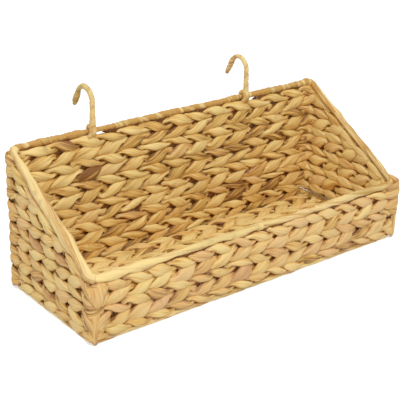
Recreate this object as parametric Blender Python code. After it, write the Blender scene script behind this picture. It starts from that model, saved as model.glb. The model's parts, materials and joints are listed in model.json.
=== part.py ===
# Hanging basket of water hyacinth, twined over a welded wire frame, with two wrapped hooks.
# Units are metres, +X runs along the basket, +Y to its tall back, +Z up.
# The origin is the middle of the underside, on the surface that the basket rests on.

import math

import bmesh
import bpy
from mathutils import Matrix, Vector

# Basket body, over the outside of the weave
LENGTH = 0.420
DEPTH = 0.155
ROW_HEIGHT = 0.0122
FRONT_ROWS = 5
BACK_ROWS = 12
FLOOR_ROWS = 11
WALL_FOOT = 0.0025

# Weave: two strands twined round each stake, thick over the stake and thin where they cross
WALL_THICKNESS = 0.0114
CROSSING_THICKNESS = 0.0074
STITCH_LEAN_SHARE = 0.20
SHORTEST_END_SHARE = 0.35
CREST_START_SHARE = 0.27
FLAT_STITCH_SHARE = 0.50
FRONT_INTERVALS = 16
BACK_INTERVALS = 14
SIDE_INTERVALS = 6

# Wire frame
ROD_DIAMETER = 0.0034
POST_DIAMETER = 0.0030
STAKE_DIAMETER = 0.0026
CORNER_RADIUS = 0.008
CORNER_STEPS = 4
ROD_SIDES = 8
STAKE_SIDES = 5

# Strips wound round the rim and the bottom edge
RIM_DIAMETER = 0.0072
SIDE_RIM_DIAMETER = 0.0088
BASE_DIAMETER = 0.0054
TURN_GROOVE = 0.0004
TURN_TILT_SHARE = 0.45
BACK_TURN = 0.018
FRONT_TURN = 0.027
SIDE_TURN = 0.022
BASE_TURN = 0.140
BINDING_SEGMENTS = 6
BORE_SEGMENTS = 4
TIE_WIDTH = 0.0022
TIE_HEIGHT = 0.0004
TIE_COUNT = 3
TIE_PLACE_SHARES = (0.56, 0.78)

# Corner stitches, each over two rows
CORNER_STITCH_ROWS = 2
CORNER_ROUNDING = 0.0062
CORNER_ROUND_STEPS = 3
CUP_LEVEL_SHARES = (0.0, 0.22, 0.78)
CUP_DEPTH_SHARES = (1.0, 0.15, 0.0)

# Hooks: a steel wire bent to an eye round the rim, a stem, a crown and a splayed tip
HOOK_PLACE_SHARES = (-3.80, 3.32)
HOOK_WIRE_DIAMETER = 0.0032
HOOK_WRAP_DIAMETER = 0.0048
HOOK_STEM = 0.0242
HOOK_BEND_RADIUS = 0.0060
HOOK_CROWN_RADIUS = 0.0135
HOOK_TIP_LENGTH = 0.0192
HOOK_SPLAY = math.radians(27.0)
HOOK_TURN = 0.0100
HOOK_TURN_GROOVE = 0.0002
HOOK_SIDES = 8
EYE_LEAVING = math.radians(140.0)
EYE_OPENING = math.radians(60.0)
EYE_STEPS = 11
BEND_STEPS = 2
CROWN_STEPS = 7
HOOK_WIRE_SIDES = 6
NECK_DIAMETER = 0.0054
NECK_SIDE_GAP = 0.0006
NOTCH_SIDE_GAP = 0.0009
NOTCH_DEPTH_GAP = 0.0013

# Fits
GAP = 0.0003
OVERRUN = 0.010
CUT_TOLERANCE = 0.000003

# Looks of the plain solids: colour as red, green and blue, then roughness
STRAW = ((0.62, 0.43, 0.20), 0.75)
PALE_STRAW = ((0.76, 0.60, 0.32), 0.65)
STEEL = ((0.42, 0.42, 0.43), 0.45)
SMOOTHING_ANGLE = math.radians(40.0)

# Worked out from the sizes above
HALF_WALL = WALL_THICKNESS / 2
MID_X = LENGTH / 2 - HALF_WALL
MID_Y = DEPTH / 2 - HALF_WALL
RIM_RADIUS = RIM_DIAMETER / 2
SIDE_RIM_RADIUS = SIDE_RIM_DIAMETER / 2
BASE_RADIUS = BASE_DIAMETER / 2
FRONT_WALL_TOP = WALL_FOOT + FRONT_ROWS * ROW_HEIGHT
BACK_WALL_TOP = WALL_FOOT + BACK_ROWS * ROW_HEIGHT
FRONT_RIM_Z = FRONT_WALL_TOP + GAP + RIM_RADIUS
BACK_RIM_Z = BACK_WALL_TOP + GAP + RIM_RADIUS
BORE_RADIUS = ROD_DIAMETER / 2 + GAP
FRONT_PITCH = 2 * MID_X / FRONT_INTERVALS
BACK_PITCH = 2 * MID_X / BACK_INTERVALS
SIDE_PITCH = 2 * MID_Y / SIDE_INTERVALS
PANEL_HALF_LENGTH = MID_X - HALF_WALL - GAP
PANEL_HALF_DEPTH = MID_Y - HALF_WALL - GAP
EYE_RADIUS = NECK_DIAMETER / 2 + GAP + HOOK_WRAP_DIAMETER / 2
UP = Vector((0.0, 0.0, 1.0))

# Corners of the two wire rings, counter-clockwise from the front left
BASE_CORNERS = (
    Vector((-MID_X, -MID_Y, BASE_RADIUS)),
    Vector((MID_X, -MID_Y, BASE_RADIUS)),
    Vector((MID_X, MID_Y, BASE_RADIUS)),
    Vector((-MID_X, MID_Y, BASE_RADIUS)),
)
RIM_CORNERS = (
    Vector((-MID_X, -MID_Y, FRONT_RIM_Z)),
    Vector((MID_X, -MID_Y, FRONT_RIM_Z)),
    Vector((MID_X, MID_Y, BACK_RIM_Z)),
    Vector((-MID_X, MID_Y, BACK_RIM_Z)),
)


def clear_scene():
    for item in list(bpy.data.objects):
        bpy.data.objects.remove(item, do_unlink=True)


def make_material(name, look, metallic=0.0):
    colour, roughness = look
    material = bpy.data.materials.new(name)
    material.use_nodes = True
    shader = material.node_tree.nodes["Principled BSDF"]
    shader.inputs["Base Color"].default_value = (*colour, 1.0)
    shader.inputs["Roughness"].default_value = roughness
    shader.inputs["Metallic"].default_value = metallic
    material.diffuse_color = (*colour, 1.0)
    return material


def add_object(name, bm, material=None, parent=None):
    bmesh.ops.recalc_face_normals(bm, faces=bm.faces)
    mesh = bpy.data.meshes.new(name)
    bm.to_mesh(mesh)
    bm.free()
    item = bpy.data.objects.new(name, mesh)
    bpy.context.collection.objects.link(item)
    if material:
        mesh.materials.append(material)
    item.parent = parent
    return item


def add_cutter(name, bm):
    cutter = add_object(name, bm)
    cutter.display_type = "WIRE"
    cutter.hide_render = True
    return cutter


def combine(item, other, operation):
    boolean = item.modifiers.new(other.name, "BOOLEAN")
    boolean.object = other
    boolean.operation = operation
    boolean.solver = "EXACT"


def smooth(item):
    item.data.shade_smooth()
    item.data.set_sharp_from_angle(angle=SMOOTHING_ANGLE)


# Rings of points joined into a skin


def skin(bm, rings, closed=False):
    """Join rings of points side by side; the ends are capped unless the last meets the first."""
    loops = [[bm.verts.new(point) for point in ring] for ring in rings]
    pairs = list(zip(loops, loops[1:]))
    if closed:
        pairs.append((loops[-1], loops[0]))
    for ring, following in pairs:
        for j in range(len(ring)):
            bm.faces.new((ring[j - 1], ring[j], following[j], following[j - 1]))
    if not closed:
        bm.faces.new(loops[0])
        bm.faces.new(loops[-1])
    return loops


def circle(centre, first, second, radius, sides):
    """A ring of points; the half step turns a flat side towards each axis."""
    step = 2 * math.pi / sides
    angles = [(j + 0.5) * step for j in range(sides)]
    return [centre + radius * (math.cos(a) * first + math.sin(a) * second) for a in angles]


def add_bar(bm, start, end, radius, sides):
    """A straight round bar between two points."""
    along = (end - start).normalized()
    first = along.orthogonal().normalized()
    if abs(along.x) < abs(along.y) or abs(along.x) < abs(along.z):
        first = Vector((1.0, 0.0, 0.0))
    second = along.cross(first)
    skin(bm, [circle(point, first, second, radius, sides) for point in (start, end)])


# Paths round the basket


def corner_arc(corners, index):
    """Points of the rounded bend at one corner of a ring, from the side before to the side after."""
    corner = corners[index]
    before = (corners[index - 1] - corner).normalized()
    after = (corners[(index + 1) % len(corners)] - corner).normalized()
    centre = corner + CORNER_RADIUS * (before + after)
    steps = range(CORNER_STEPS + 1)
    return [centre + CORNER_RADIUS * (-after).slerp(-before, step / CORNER_STEPS) for step in steps]


def tangents(path, closed=False):
    """Direction of the path at each of its points."""
    result = []
    for i, point in enumerate(path):
        ahead = path[(i + 1) % len(path)] if closed or i + 1 < len(path) else point
        behind = path[i - 1] if closed or i > 0 else point
        result.append((ahead - behind).normalized())
    return result


def ring_path(corners):
    return [point for index in range(len(corners)) for point in corner_arc(corners, index)]


def mid_bend_direction(corners, index):
    """Direction of a ring's path halfway round one of its bends."""
    before = (corners[index] - corners[index - 1]).normalized()
    after = (corners[(index + 1) % len(corners)] - corners[index]).normalized()
    return (before + after).normalized()


def edge_path(corners, index, pitch):
    """One side of a ring from mid bend to mid bend, with two points for each turn of the strip."""
    half = CORNER_STEPS // 2
    following = (index + 1) % len(corners)
    leaving = corner_arc(corners, index)[half:]
    arriving = corner_arc(corners, following)[: half + 1]
    run = arriving[0] - leaving[-1]
    count = 2 * max(1, round(run.length / pitch))
    straight = [leaving[-1] + run * (step / count) for step in range(1, count)]
    path = leaving + straight + arriving
    directions = tangents(path)
    directions[0] = mid_bend_direction(corners, index)
    directions[-1] = mid_bend_direction(corners, following)
    path[0] = path[0] + directions[0] * GAP / 2
    path[-1] = path[-1] - directions[-1] * GAP / 2
    first_straight = len(leaving) - 1
    return path, directions, first_straight, first_straight + count


def add_ring(bm, corners, radius, sides):
    path = ring_path(corners)
    rings = []
    for point, along in zip(path, tangents(path, closed=True)):
        outward = along.cross(UP).normalized()
        rings.append(circle(point, outward, outward.cross(along), radius, sides))
    skin(bm, rings, closed=True)


# Wire frame


def rim_height_at(y):
    """Height of the slanted side rod above a point of the side wall."""
    share = (y + MID_Y) / (2 * MID_Y)
    return FRONT_RIM_Z + share * (BACK_RIM_Z - FRONT_RIM_Z)


def stakes():
    """Foot and head of each upright stake, wall by wall."""
    places = []
    for i in range(1, FRONT_INTERVALS):
        places.append((-MID_X + i * FRONT_PITCH, -MID_Y, FRONT_RIM_Z))
    for i in range(1, BACK_INTERVALS):
        places.append((-MID_X + i * BACK_PITCH, MID_Y, BACK_RIM_Z))
    for i in range(1, SIDE_INTERVALS):
        y = -MID_Y + i * SIDE_PITCH
        places.append((-MID_X, y, rim_height_at(y)))
        places.append((MID_X, y, rim_height_at(y)))
    return places


def posts():
    """Place and head of each corner post, under the middle of the rim's bend."""
    places = []
    for index in range(len(RIM_CORNERS)):
        foot = corner_arc(BASE_CORNERS, index)[CORNER_STEPS // 2]
        head = corner_arc(RIM_CORNERS, index)[CORNER_STEPS // 2]
        places.append((foot.x, foot.y, head.z))
    return places


def floor_stake_places():
    return [-MID_X + i * BACK_PITCH for i in range(1, BACK_INTERVALS)]


def make_wire_frame(steel, parent):
    """Rim ring, bottom ring, posts and stakes, welded into one piece."""
    bm = bmesh.new()
    add_ring(bm, BASE_CORNERS, ROD_DIAMETER / 2, ROD_SIDES)
    frame = add_object("wire_frame", bm, steel, parent)

    bm = bmesh.new()
    add_ring(bm, RIM_CORNERS, ROD_DIAMETER / 2, ROD_SIDES)
    rim = add_cutter("rim_ring_guide", bm)

    bm = bmesh.new()
    for x, y, head in stakes():
        add_bar(bm, Vector((x, y, BASE_RADIUS)), Vector((x, y, head)), STAKE_DIAMETER / 2, STAKE_SIDES)
    for x, y, head in posts():
        add_bar(bm, Vector((x, y, BASE_RADIUS)), Vector((x, y, head)), POST_DIAMETER / 2, STAKE_SIDES)
    uprights = add_cutter("uprights_guide", bm)

    bm = bmesh.new()
    for x in floor_stake_places():
        start = Vector((x, -MID_Y, HALF_WALL))
        end = Vector((x, MID_Y, HALF_WALL))
        add_bar(bm, start, end, STAKE_DIAMETER / 2, STAKE_SIDES)
    floor_stakes = add_cutter("floor_stakes_guide", bm)

    for guide in (uprights, floor_stakes, rim):
        combine(frame, guide, "UNION")


def make_wire_cutters():
    """Clearance round the wires, cut out of everything woven or wound over them."""
    bm = bmesh.new()
    below = -OVERRUN
    for x, y, head in stakes():
        radius = STAKE_DIAMETER / 2 + GAP
        add_bar(bm, Vector((x, y, below)), Vector((x, y, head + OVERRUN)), radius, STAKE_SIDES)
    for x, y, head in posts():
        radius = POST_DIAMETER / 2 + GAP
        add_bar(bm, Vector((x, y, below)), Vector((x, y, head + OVERRUN)), radius, STAKE_SIDES)
    upright_bores = add_cutter("upright_bores", bm)

    bm = bmesh.new()
    for x in floor_stake_places():
        start = Vector((x, -MID_Y, HALF_WALL))
        end = Vector((x, MID_Y, HALF_WALL))
        add_bar(bm, start, end, STAKE_DIAMETER / 2 + GAP, STAKE_SIDES)
    floor_bores = add_cutter("floor_bores", bm)

    bm = bmesh.new()
    half_x = MID_X + BASE_RADIUS + GAP
    half_y = MID_Y + BASE_RADIUS + GAP
    top = HALF_WALL + STAKE_DIAMETER / 2 + GAP
    matrix = Matrix.Diagonal((2 * half_x, 2 * half_y, 2 * top, 1.0))
    bmesh.ops.create_cube(bm, size=1.0, matrix=matrix)
    base_rebate = add_cutter("base_rebate", bm)
    return upright_bores, floor_bores, base_rebate


# Woven panels


def stitch_edges(half_length, pitch, intervals):
    """Places along a panel where one stitch ends and the next begins, between its two ends."""
    middle = intervals / 2
    edges = [(i + 0.5 - middle) * pitch for i in range(intervals)]
    inside = [edge for edge in edges if abs(edge) < half_length - pitch * SHORTEST_END_SHARE]
    return [-half_length] + inside + [half_length]


def row_edges(foot, rows, height):
    return [foot + row * height for row in range(rows + 1)]


def crest_line(cell, leans_left):
    """The two ends of a stitch's crest, along the long diagonal of its cell."""
    low_left, low_right, high_right, high_left = cell
    start, end = (high_left, low_right) if leans_left else (low_left, high_right)
    near = start.lerp(end, CREST_START_SHARE)
    far = start.lerp(end, 1 - CREST_START_SHARE)
    return near, far


def add_pointed_stitch(bm, corners, cell, leans_left, place, level):
    near, far = (bm.verts.new(place(end.x, end.y, level)) for end in crest_line(cell, leans_left))
    low_left, low_right, high_right, high_left = corners
    bm.faces.new((low_left, low_right, far, near))
    bm.faces.new((high_right, high_left, near, far))
    bm.faces.new((high_left, low_left, near))
    bm.faces.new((low_right, high_right, far))


def add_flat_stitch(bm, corners, cell, place, level):
    """A long row with a flat crest, drawn in alike from all its edges."""
    middle = sum(cell, Vector((0.0, 0.0))) / len(cell)
    inset = abs(cell[0].y - middle.y) * FLAT_STITCH_SHARE
    top = []
    for corner in cell:
        x = corner.x - math.copysign(inset, corner.x - middle.x)
        y = corner.y - math.copysign(inset, corner.y - middle.y)
        top.append(bm.verts.new(place(x, y, level)))
    for j in range(len(cell)):
        bm.faces.new((corners[j - 1], corners[j], top[j], top[j - 1]))
    bm.faces.new(top)


def add_woven_face(bm, columns, rows, lean, side, place, flat):
    """One face of a panel: leaning stitches whose slant changes from row to row."""
    crossing = side * CROSSING_THICKNESS / 2
    crest = side * HALF_WALL
    flats = []
    verts = []
    for k, v in enumerate(rows):
        inner_row = 0 < k < len(rows) - 1
        slant = side * lean * (-1) ** k if inner_row else 0.0
        last = len(columns) - 1
        line = [Vector((u + (slant if 0 < i < last else 0.0), v)) for i, u in enumerate(columns)]
        flats.append(line)
        verts.append([bm.verts.new(place(point.x, point.y, crossing)) for point in line])
    for k in range(len(rows) - 1):
        leans_left = side * (-1) ** k > 0
        for i in range(len(columns) - 1):
            order = ((k, i), (k, i + 1), (k + 1, i + 1), (k + 1, i))
            cell = [flats[row][column] for row, column in order]
            corners = [verts[row][column] for row, column in order]
            if flat:
                add_flat_stitch(bm, corners, cell, place, crest)
            else:
                add_pointed_stitch(bm, corners, cell, leans_left, place, crest)
    return verts


def close_edge(bm, outer, inner):
    """Close a panel's edge; a long row's edge has no points between its ends and takes a fan."""
    if len(outer) == len(inner):
        for i in range(1, len(outer)):
            bm.faces.new((outer[i - 1], outer[i], inner[i], inner[i - 1]))
        return
    for i in range(1, len(outer)):
        bm.faces.new((outer[i - 1], outer[i], inner[0]))
    bm.faces.new((outer[-1], inner[-1], inner[0]))


def woven_panel(columns, rows, lean, place, flat_columns=None):
    """A closed panel with stitches on both faces, or with long flat rows on its second face."""
    bm = bmesh.new()
    outer = add_woven_face(bm, columns, rows, lean, 1, place, False)
    flat = flat_columns is not None
    inner = add_woven_face(bm, flat_columns if flat else columns, rows, lean, -1, place, flat)
    for line in (0, -1):
        close_edge(bm, outer[line], inner[line])
        close_edge(bm, [row[line] for row in outer], [row[line] for row in inner])
    bmesh.ops.triangulate(bm, faces=bm.faces)
    bmesh.ops.recalc_face_normals(bm, faces=bm.faces)
    return bm


def cut_above(bm, point, normal):
    """Cut off what lies beyond a plane and close the cut."""
    geometry = bm.verts[:] + bm.edges[:] + bm.faces[:]
    cut = bmesh.ops.bisect_plane(
        bm, geom=geometry, dist=CUT_TOLERANCE, plane_co=point, plane_no=normal, clear_outer=True
    )
    edges = [item for item in cut["geom_cut"] if isinstance(item, bmesh.types.BMEdge)]
    bmesh.ops.edgeloop_fill(bm, edges=edges)


def side_slope():
    """Direction along the side rim, from front to back, and the direction square to it."""
    along = (RIM_CORNERS[2] - RIM_CORNERS[1]).normalized()
    square = Vector((0.0, -along.z, along.y))
    return along, square


def side_cut_plane():
    """Plane that the side walls stop at, just under the strip wound round the side rods."""
    square = side_slope()[1]
    point = RIM_CORNERS[1] - square * (SIDE_RIM_RADIUS + GAP)
    return point, square


def hook_places():
    return [Vector((share * BACK_PITCH, MID_Y, BACK_RIM_Z)) for share in HOOK_PLACE_SHARES]


def make_notch_cutter():
    """Room under the rim for each hook's eye."""
    bm = bmesh.new()
    depth = EYE_RADIUS + HOOK_WRAP_DIAMETER / 2 + NOTCH_DEPTH_GAP
    for place in hook_places():
        size = Vector((HOOK_WRAP_DIAMETER + 2 * NOTCH_SIDE_GAP, WALL_THICKNESS + 2 * OVERRUN, 2 * depth))
        matrix = Matrix.Translation(place) @ Matrix.Diagonal((*size, 1.0))
        bmesh.ops.create_cube(bm, size=1.0, matrix=matrix)
    return add_cutter("eye_notches", bm)


def make_weave(straw, parent, cutters):
    upright_bores, floor_bores, base_rebate = cutters
    notches = make_notch_cutter()

    front_columns = stitch_edges(PANEL_HALF_LENGTH, FRONT_PITCH, FRONT_INTERVALS)
    front_rows = row_edges(WALL_FOOT, FRONT_ROWS, ROW_HEIGHT)
    lean = FRONT_PITCH * STITCH_LEAN_SHARE
    bm = woven_panel(front_columns, front_rows, lean, lambda u, v, w: Vector((u, -MID_Y - w, v)))
    front = add_object("front_weave", bm, straw, parent)

    back_columns = stitch_edges(PANEL_HALF_LENGTH, BACK_PITCH, BACK_INTERVALS)
    back_rows = row_edges(WALL_FOOT, BACK_ROWS, ROW_HEIGHT)
    lean = BACK_PITCH * STITCH_LEAN_SHARE
    bm = woven_panel(back_columns, back_rows, lean, lambda u, v, w: Vector((-u, MID_Y + w, v)))
    back = add_object("back_weave", bm, straw, parent)

    side_columns = stitch_edges(PANEL_HALF_DEPTH, SIDE_PITCH, SIDE_INTERVALS)
    lean = SIDE_PITCH * STITCH_LEAN_SHARE
    walls = [front, back]
    for name, sign in (("left_weave", -1), ("right_weave", 1)):
        def place(u, v, w):
            return Vector((sign * (MID_X + w), sign * u, v))
        bm = woven_panel(side_columns, back_rows, lean, place)
        cut_above(bm, *side_cut_plane())
        walls.append(add_object(name, bm, straw, parent))

    for wall in walls:
        combine(wall, base_rebate, "DIFFERENCE")
        combine(wall, upright_bores, "DIFFERENCE")
    combine(back, notches, "DIFFERENCE")

    floor_columns = stitch_edges(PANEL_HALF_LENGTH, BACK_PITCH, BACK_INTERVALS)
    floor_row = 2 * PANEL_HALF_DEPTH / FLOOR_ROWS
    floor_rows = row_edges(-PANEL_HALF_DEPTH, FLOOR_ROWS, floor_row)
    lean = BACK_PITCH * STITCH_LEAN_SHARE
    long_rows = [floor_columns[0], floor_columns[-1]]
    bm = woven_panel(floor_columns, floor_rows, lean, lambda u, v, w: Vector((u, v, HALF_WALL + w)), long_rows)
    floor = add_object("floor_weave", bm, straw, parent)
    combine(floor, floor_bores, "DIFFERENCE")


# Broad stitches that carry the weave round each corner


def corner_section(centre, x_sign, y_sign, inset, z):
    """A square the thickness of the wall, rounded on the basket's outer edge."""
    inner = -HALF_WALL
    outer = HALF_WALL - inset
    bend = outer - CORNER_ROUNDING
    points = [(inner, inner), (outer, inner)]
    for step in range(CORNER_ROUND_STEPS + 1):
        angle = math.pi / 2 * step / CORNER_ROUND_STEPS
        points.append((bend + CORNER_ROUNDING * math.cos(angle), bend + CORNER_ROUNDING * math.sin(angle)))
    points.append((inner, outer))
    return [Vector((centre.x + x_sign * p, centre.y + y_sign * q, z)) for p, q in points]


def make_corners(straw, parent, cutters):
    upright_bores, _, base_rebate = cutters
    names = ("front_left_corner", "front_right_corner", "back_right_corner", "back_left_corner")
    for name, corner in zip(names, BASE_CORNERS):
        rows = FRONT_ROWS if corner.y < 0 else BACK_ROWS
        top = FRONT_WALL_TOP if corner.y < 0 else BACK_WALL_TOP
        stitches = max(1, round(rows / CORNER_STITCH_ROWS))
        stitch_height = (top - WALL_FOOT) / stitches
        x_sign = math.copysign(1.0, corner.x)
        y_sign = math.copysign(1.0, corner.y)
        depth = (WALL_THICKNESS - CROSSING_THICKNESS) / 2
        levels = []
        for stitch in range(stitches):
            for level, inset in zip(CUP_LEVEL_SHARES, CUP_DEPTH_SHARES):
                levels.append((WALL_FOOT + (stitch + level) * stitch_height, inset * depth))
        levels.append((top, CUP_DEPTH_SHARES[0] * depth))
        bm = bmesh.new()
        skin(bm, [corner_section(corner, x_sign, y_sign, inset, z) for z, inset in levels])
        cut_above(bm, *side_cut_plane())
        item = add_object(name, bm, straw, parent)
        combine(item, base_rebate, "DIFFERENCE")
        combine(item, upright_bores, "DIFFERENCE")


# Strips wound round the rods


def slit_angle(radius):
    """Half the angle of a slit that is wide enough for a post, at a distance from the rod's middle."""
    return math.asin(min(1.0, (POST_DIAMETER / 2 + GAP) / radius))


def binding_section(point, along, outward, down, radius, tilt, open_inside=0.0):
    """An open ring round the rod: its slit leaves room for the stakes that meet the rod."""
    full = 2 * math.pi
    bore_start = slit_angle(BORE_RADIUS)
    bore_end = full - max(bore_start, open_inside)
    step = (bore_end - bore_start) / BORE_SEGMENTS
    bore = BORE_RADIUS / math.cos(step / 2)
    start = slit_angle(radius)
    outer_step = (full - max(start, open_inside) - start) / BINDING_SEGMENTS
    outer = [(radius, start + outer_step * j) for j in range(BINDING_SEGMENTS + 1)]
    inner = [(bore, bore_end - step * j) for j in range(BORE_SEGMENTS + 1)]
    ring = []
    for size, angle in outer + inner:
        side = size * math.sin(angle)
        ring.append(point + size * math.cos(angle) * down + side * outward + tilt * side * along)
    return ring


def wound_path(corners, index, radius, pitch):
    """Path, radius and tilt at each section of one wound side."""
    path, directions, first, last = edge_path(corners, index, pitch)
    sections = []
    for i, (point, along) in enumerate(zip(path, directions)):
        on_run = first <= i <= last
        groove = on_run and (i - first) % 2 == 0
        tilt = TURN_TILT_SHARE if first < i < last else 0.0
        sections.append((point, along, radius - (TURN_GROOVE if groove else 0.0), tilt))
    return sections


def with_necks(sections, corners, index):
    """Narrow the strip where a hook's eye goes round it."""
    half = HOOK_WRAP_DIAMETER / 2 + NECK_SIDE_GAP
    along = (corners[(index + 1) % len(corners)] - corners[index]).normalized()
    for place in hook_places():
        kept = [s for s in sections if abs((s[0] - place).dot(along)) > half + TURN_GROOVE]
        neck = []
        for shift, radius in (
            (-half, RIM_RADIUS), (-half, NECK_DIAMETER / 2), (half, NECK_DIAMETER / 2), (half, RIM_RADIUS)
        ):
            nudge = math.copysign(TURN_GROOVE, shift) if radius == RIM_RADIUS else 0.0
            neck.append((place + along * (shift + nudge), along, radius, 0.0))
        before = [s for s in kept if (s[0] - place).dot(along) < 0]
        after = [s for s in kept if (s[0] - place).dot(along) > 0]
        before = level_near(before, place, along)
        after = level_near(after, place, along)
        sections = before + neck + after
    return sections


def level_near(sections, place, along):
    """Sections close to a neck stand square, so that they stay clear of it."""
    reach = RIM_RADIUS * TURN_TILT_SHARE + TURN_GROOVE
    limit = HOOK_WRAP_DIAMETER / 2 + NECK_SIDE_GAP + reach + TURN_GROOVE
    return [
        (point, run, radius, 0.0 if abs((point - place).dot(along)) < limit else tilt)
        for point, run, radius, tilt in sections
        if abs((point - place).dot(along)) > limit - reach
    ]


def with_ties(sections):
    """Narrow turns that tie the long front strip down."""
    straight = [s for s in sections if s[3]]
    start, end = straight[0][0], straight[-1][0]
    along = (end - start).normalized()
    for share in TIE_PLACE_SHARES:
        middle = start.lerp(end, share)
        half = TIE_COUNT * TIE_WIDTH / 2
        clear = half + RIM_RADIUS * TURN_TILT_SHARE + TURN_GROOVE
        before = [s for s in sections if (s[0] - middle).dot(along) < -clear]
        after = [s for s in sections if (s[0] - middle).dot(along) > clear]
        tie = []
        for step in range(2 * TIE_COUNT + 1):
            radius = RIM_RADIUS + (TIE_HEIGHT if step % 2 else -TURN_GROOVE)
            tie.append((middle + along * (step * TIE_WIDTH / 2 - half), along, radius, 0.0))
        sections = before + tie + after
    return sections


def make_rim_bindings(pale_straw, parent):
    sides = (
        ("front_rim_binding", 0, RIM_RADIUS, FRONT_TURN),
        ("right_rim_binding", 1, SIDE_RIM_RADIUS, SIDE_TURN),
        ("back_rim_binding", 2, RIM_RADIUS, BACK_TURN),
        ("left_rim_binding", 3, SIDE_RIM_RADIUS, SIDE_TURN),
    )
    for name, index, radius, pitch in sides:
        sections = wound_path(RIM_CORNERS, index, radius, pitch)
        if name == "back_rim_binding":
            sections = with_necks(sections, RIM_CORNERS, index)
        if name == "front_rim_binding":
            sections = with_ties(sections)
        rings = []
        for point, along, size, tilt in sections:
            outward = along.cross(UP).normalized()
            down = along.cross(outward)
            rings.append(binding_section(point, along, outward, down, size, tilt))
        bm = bmesh.new()
        skin(bm, rings)
        add_object(name, bm, pale_straw, parent)


def make_base_bindings(pale_straw, parent):
    """The strip round the bottom rod is open between the wall's stakes and the floor's."""
    names = ("front_base_binding", "right_base_binding", "back_base_binding", "left_base_binding")
    for index, name in enumerate(names):
        rings = []
        for point, along, size, _ in wound_path(BASE_CORNERS, index, BASE_RADIUS, BASE_TURN):
            outward = along.cross(UP).normalized()
            rings.append(binding_section(point, along, outward, UP, size, 0.0, math.pi / 2))
        bm = bmesh.new()
        skin(bm, rings)
        add_object(name, bm, pale_straw, parent)


# Hooks


def hook_path():
    """Centre line of a hook in its own plane, from the open end of the eye to the tip."""
    points = []
    eye_sweep = 2 * math.pi - EYE_OPENING
    for step in range(EYE_STEPS + 1):
        angle = EYE_LEAVING + eye_sweep * (1 - step / EYE_STEPS)
        points.append(Vector((0.0, EYE_RADIUS * math.cos(angle), EYE_RADIUS * math.sin(angle))))
    centre = points[-1] * (EYE_RADIUS + HOOK_BEND_RADIUS) / EYE_RADIUS
    bend = math.pi - EYE_LEAVING
    for step in range(1, BEND_STEPS + 1):
        angle = -bend * (1 - step / BEND_STEPS)
        points.append(centre + HOOK_BEND_RADIUS * Vector((0.0, math.cos(angle), math.sin(angle))))
    foot = points[-1]
    stem_steps = 2 * max(1, round(HOOK_STEM / HOOK_TURN))
    for step in range(1, stem_steps):
        points.append(foot + UP * HOOK_STEM * step / stem_steps)
    centre = foot + Vector((0.0, HOOK_CROWN_RADIUS, HOOK_STEM))
    for step in range(CROWN_STEPS + 1):
        angle = math.pi - (math.pi - HOOK_SPLAY) * step / CROWN_STEPS
        points.append(centre + HOOK_CROWN_RADIUS * Vector((0.0, math.cos(angle), math.sin(angle))))
    direction = Vector((0.0, math.sin(HOOK_SPLAY), -math.cos(HOOK_SPLAY)))
    tip_steps = 2 * max(1, round(HOOK_TIP_LENGTH / HOOK_TURN))
    start = points[-1]
    for step in range(1, tip_steps + 1):
        points.append(start + direction * HOOK_TIP_LENGTH * step / tip_steps)
    return points


def tube_rings(path, radii, sides):
    across = Vector((1.0, 0.0, 0.0))
    rings = []
    for point, along, radius in zip(path, tangents(path), radii):
        rings.append(circle(point, across, across.cross(along), radius, sides))
    return rings


def make_hooks(steel, straw, pivots):
    """Each hook is a bent wire inside a wound sleeve that is open at both ends."""
    path = hook_path()
    wrap_radius = HOOK_WRAP_DIAMETER / 2
    radii = [wrap_radius - (HOOK_TURN_GROOVE if i % 2 and i > EYE_STEPS else 0.0) for i in range(len(path))]
    bore = HOOK_WIRE_DIAMETER / 2 + GAP
    for side, pivot in zip(("left", "right"), pivots):
        bm = bmesh.new()
        skin(bm, tube_rings(path, [HOOK_WIRE_DIAMETER / 2] * len(path), HOOK_WIRE_SIDES))
        smooth(add_object(side + "_hook_wire", bm, steel, pivot))

        bm = bmesh.new()
        outer = tube_rings(path, radii, HOOK_SIDES)
        inner = tube_rings(path, [bore] * len(path), HOOK_SIDES)
        add_sleeve(bm, outer, inner)
        smooth(add_object(side + "_hook_wrap", bm, straw, pivot))


def add_sleeve(bm, outer, inner):
    """A tube with a wall: outer and inner skins joined at both ends."""
    around = [bm.verts.new(point) for point in outer[0]]
    first = around
    for ring in outer[1:] + inner[::-1]:
        following = [bm.verts.new(point) for point in ring]
        join_rings(bm, around, following)
        around = following
    join_rings(bm, around, first)


def join_rings(bm, ring, following):
    for j in range(len(ring)):
        bm.faces.new((ring[j - 1], ring[j], following[j], following[j - 1]))


def make_pivots(parent):
    """An empty on each hook's axis, the middle of the back rim."""
    pivots = []
    for side, place in zip(("left", "right"), hook_places()):
        pivot = bpy.data.objects.new(side + "_hook_pivot", None)
        bpy.context.collection.objects.link(pivot)
        pivot.location = place
        pivot.parent = parent
        pivots.append(pivot)
    return pivots


def main():
    clear_scene()
    straw = make_material("twined_hyacinth", STRAW)
    pale_straw = make_material("wound_hyacinth_strip", PALE_STRAW)
    steel = make_material("iron_wire", STEEL, metallic=1.0)
    basket = bpy.data.objects.new("basket", None)
    bpy.context.collection.objects.link(basket)

    make_wire_frame(steel, basket)
    cutters = make_wire_cutters()
    make_weave(straw, basket, cutters)
    make_corners(straw, basket, cutters)
    make_rim_bindings(pale_straw, basket)
    make_base_bindings(pale_straw, basket)
    make_hooks(steel, pale_straw, make_pivots(basket))


main()
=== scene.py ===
# Looks of the hanging basket: water hyacinth twined over the wire frame, wound rims and two wrapped hooks.
# Units are metres, +X runs along the basket, +Y to its tall back, +Z up.

import json
import math

import bmesh
import bpy
import numpy as np
from bpy.props import FloatProperty, FloatVectorProperty, IntProperty, PointerProperty
from mathutils import Matrix, Vector

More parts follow.
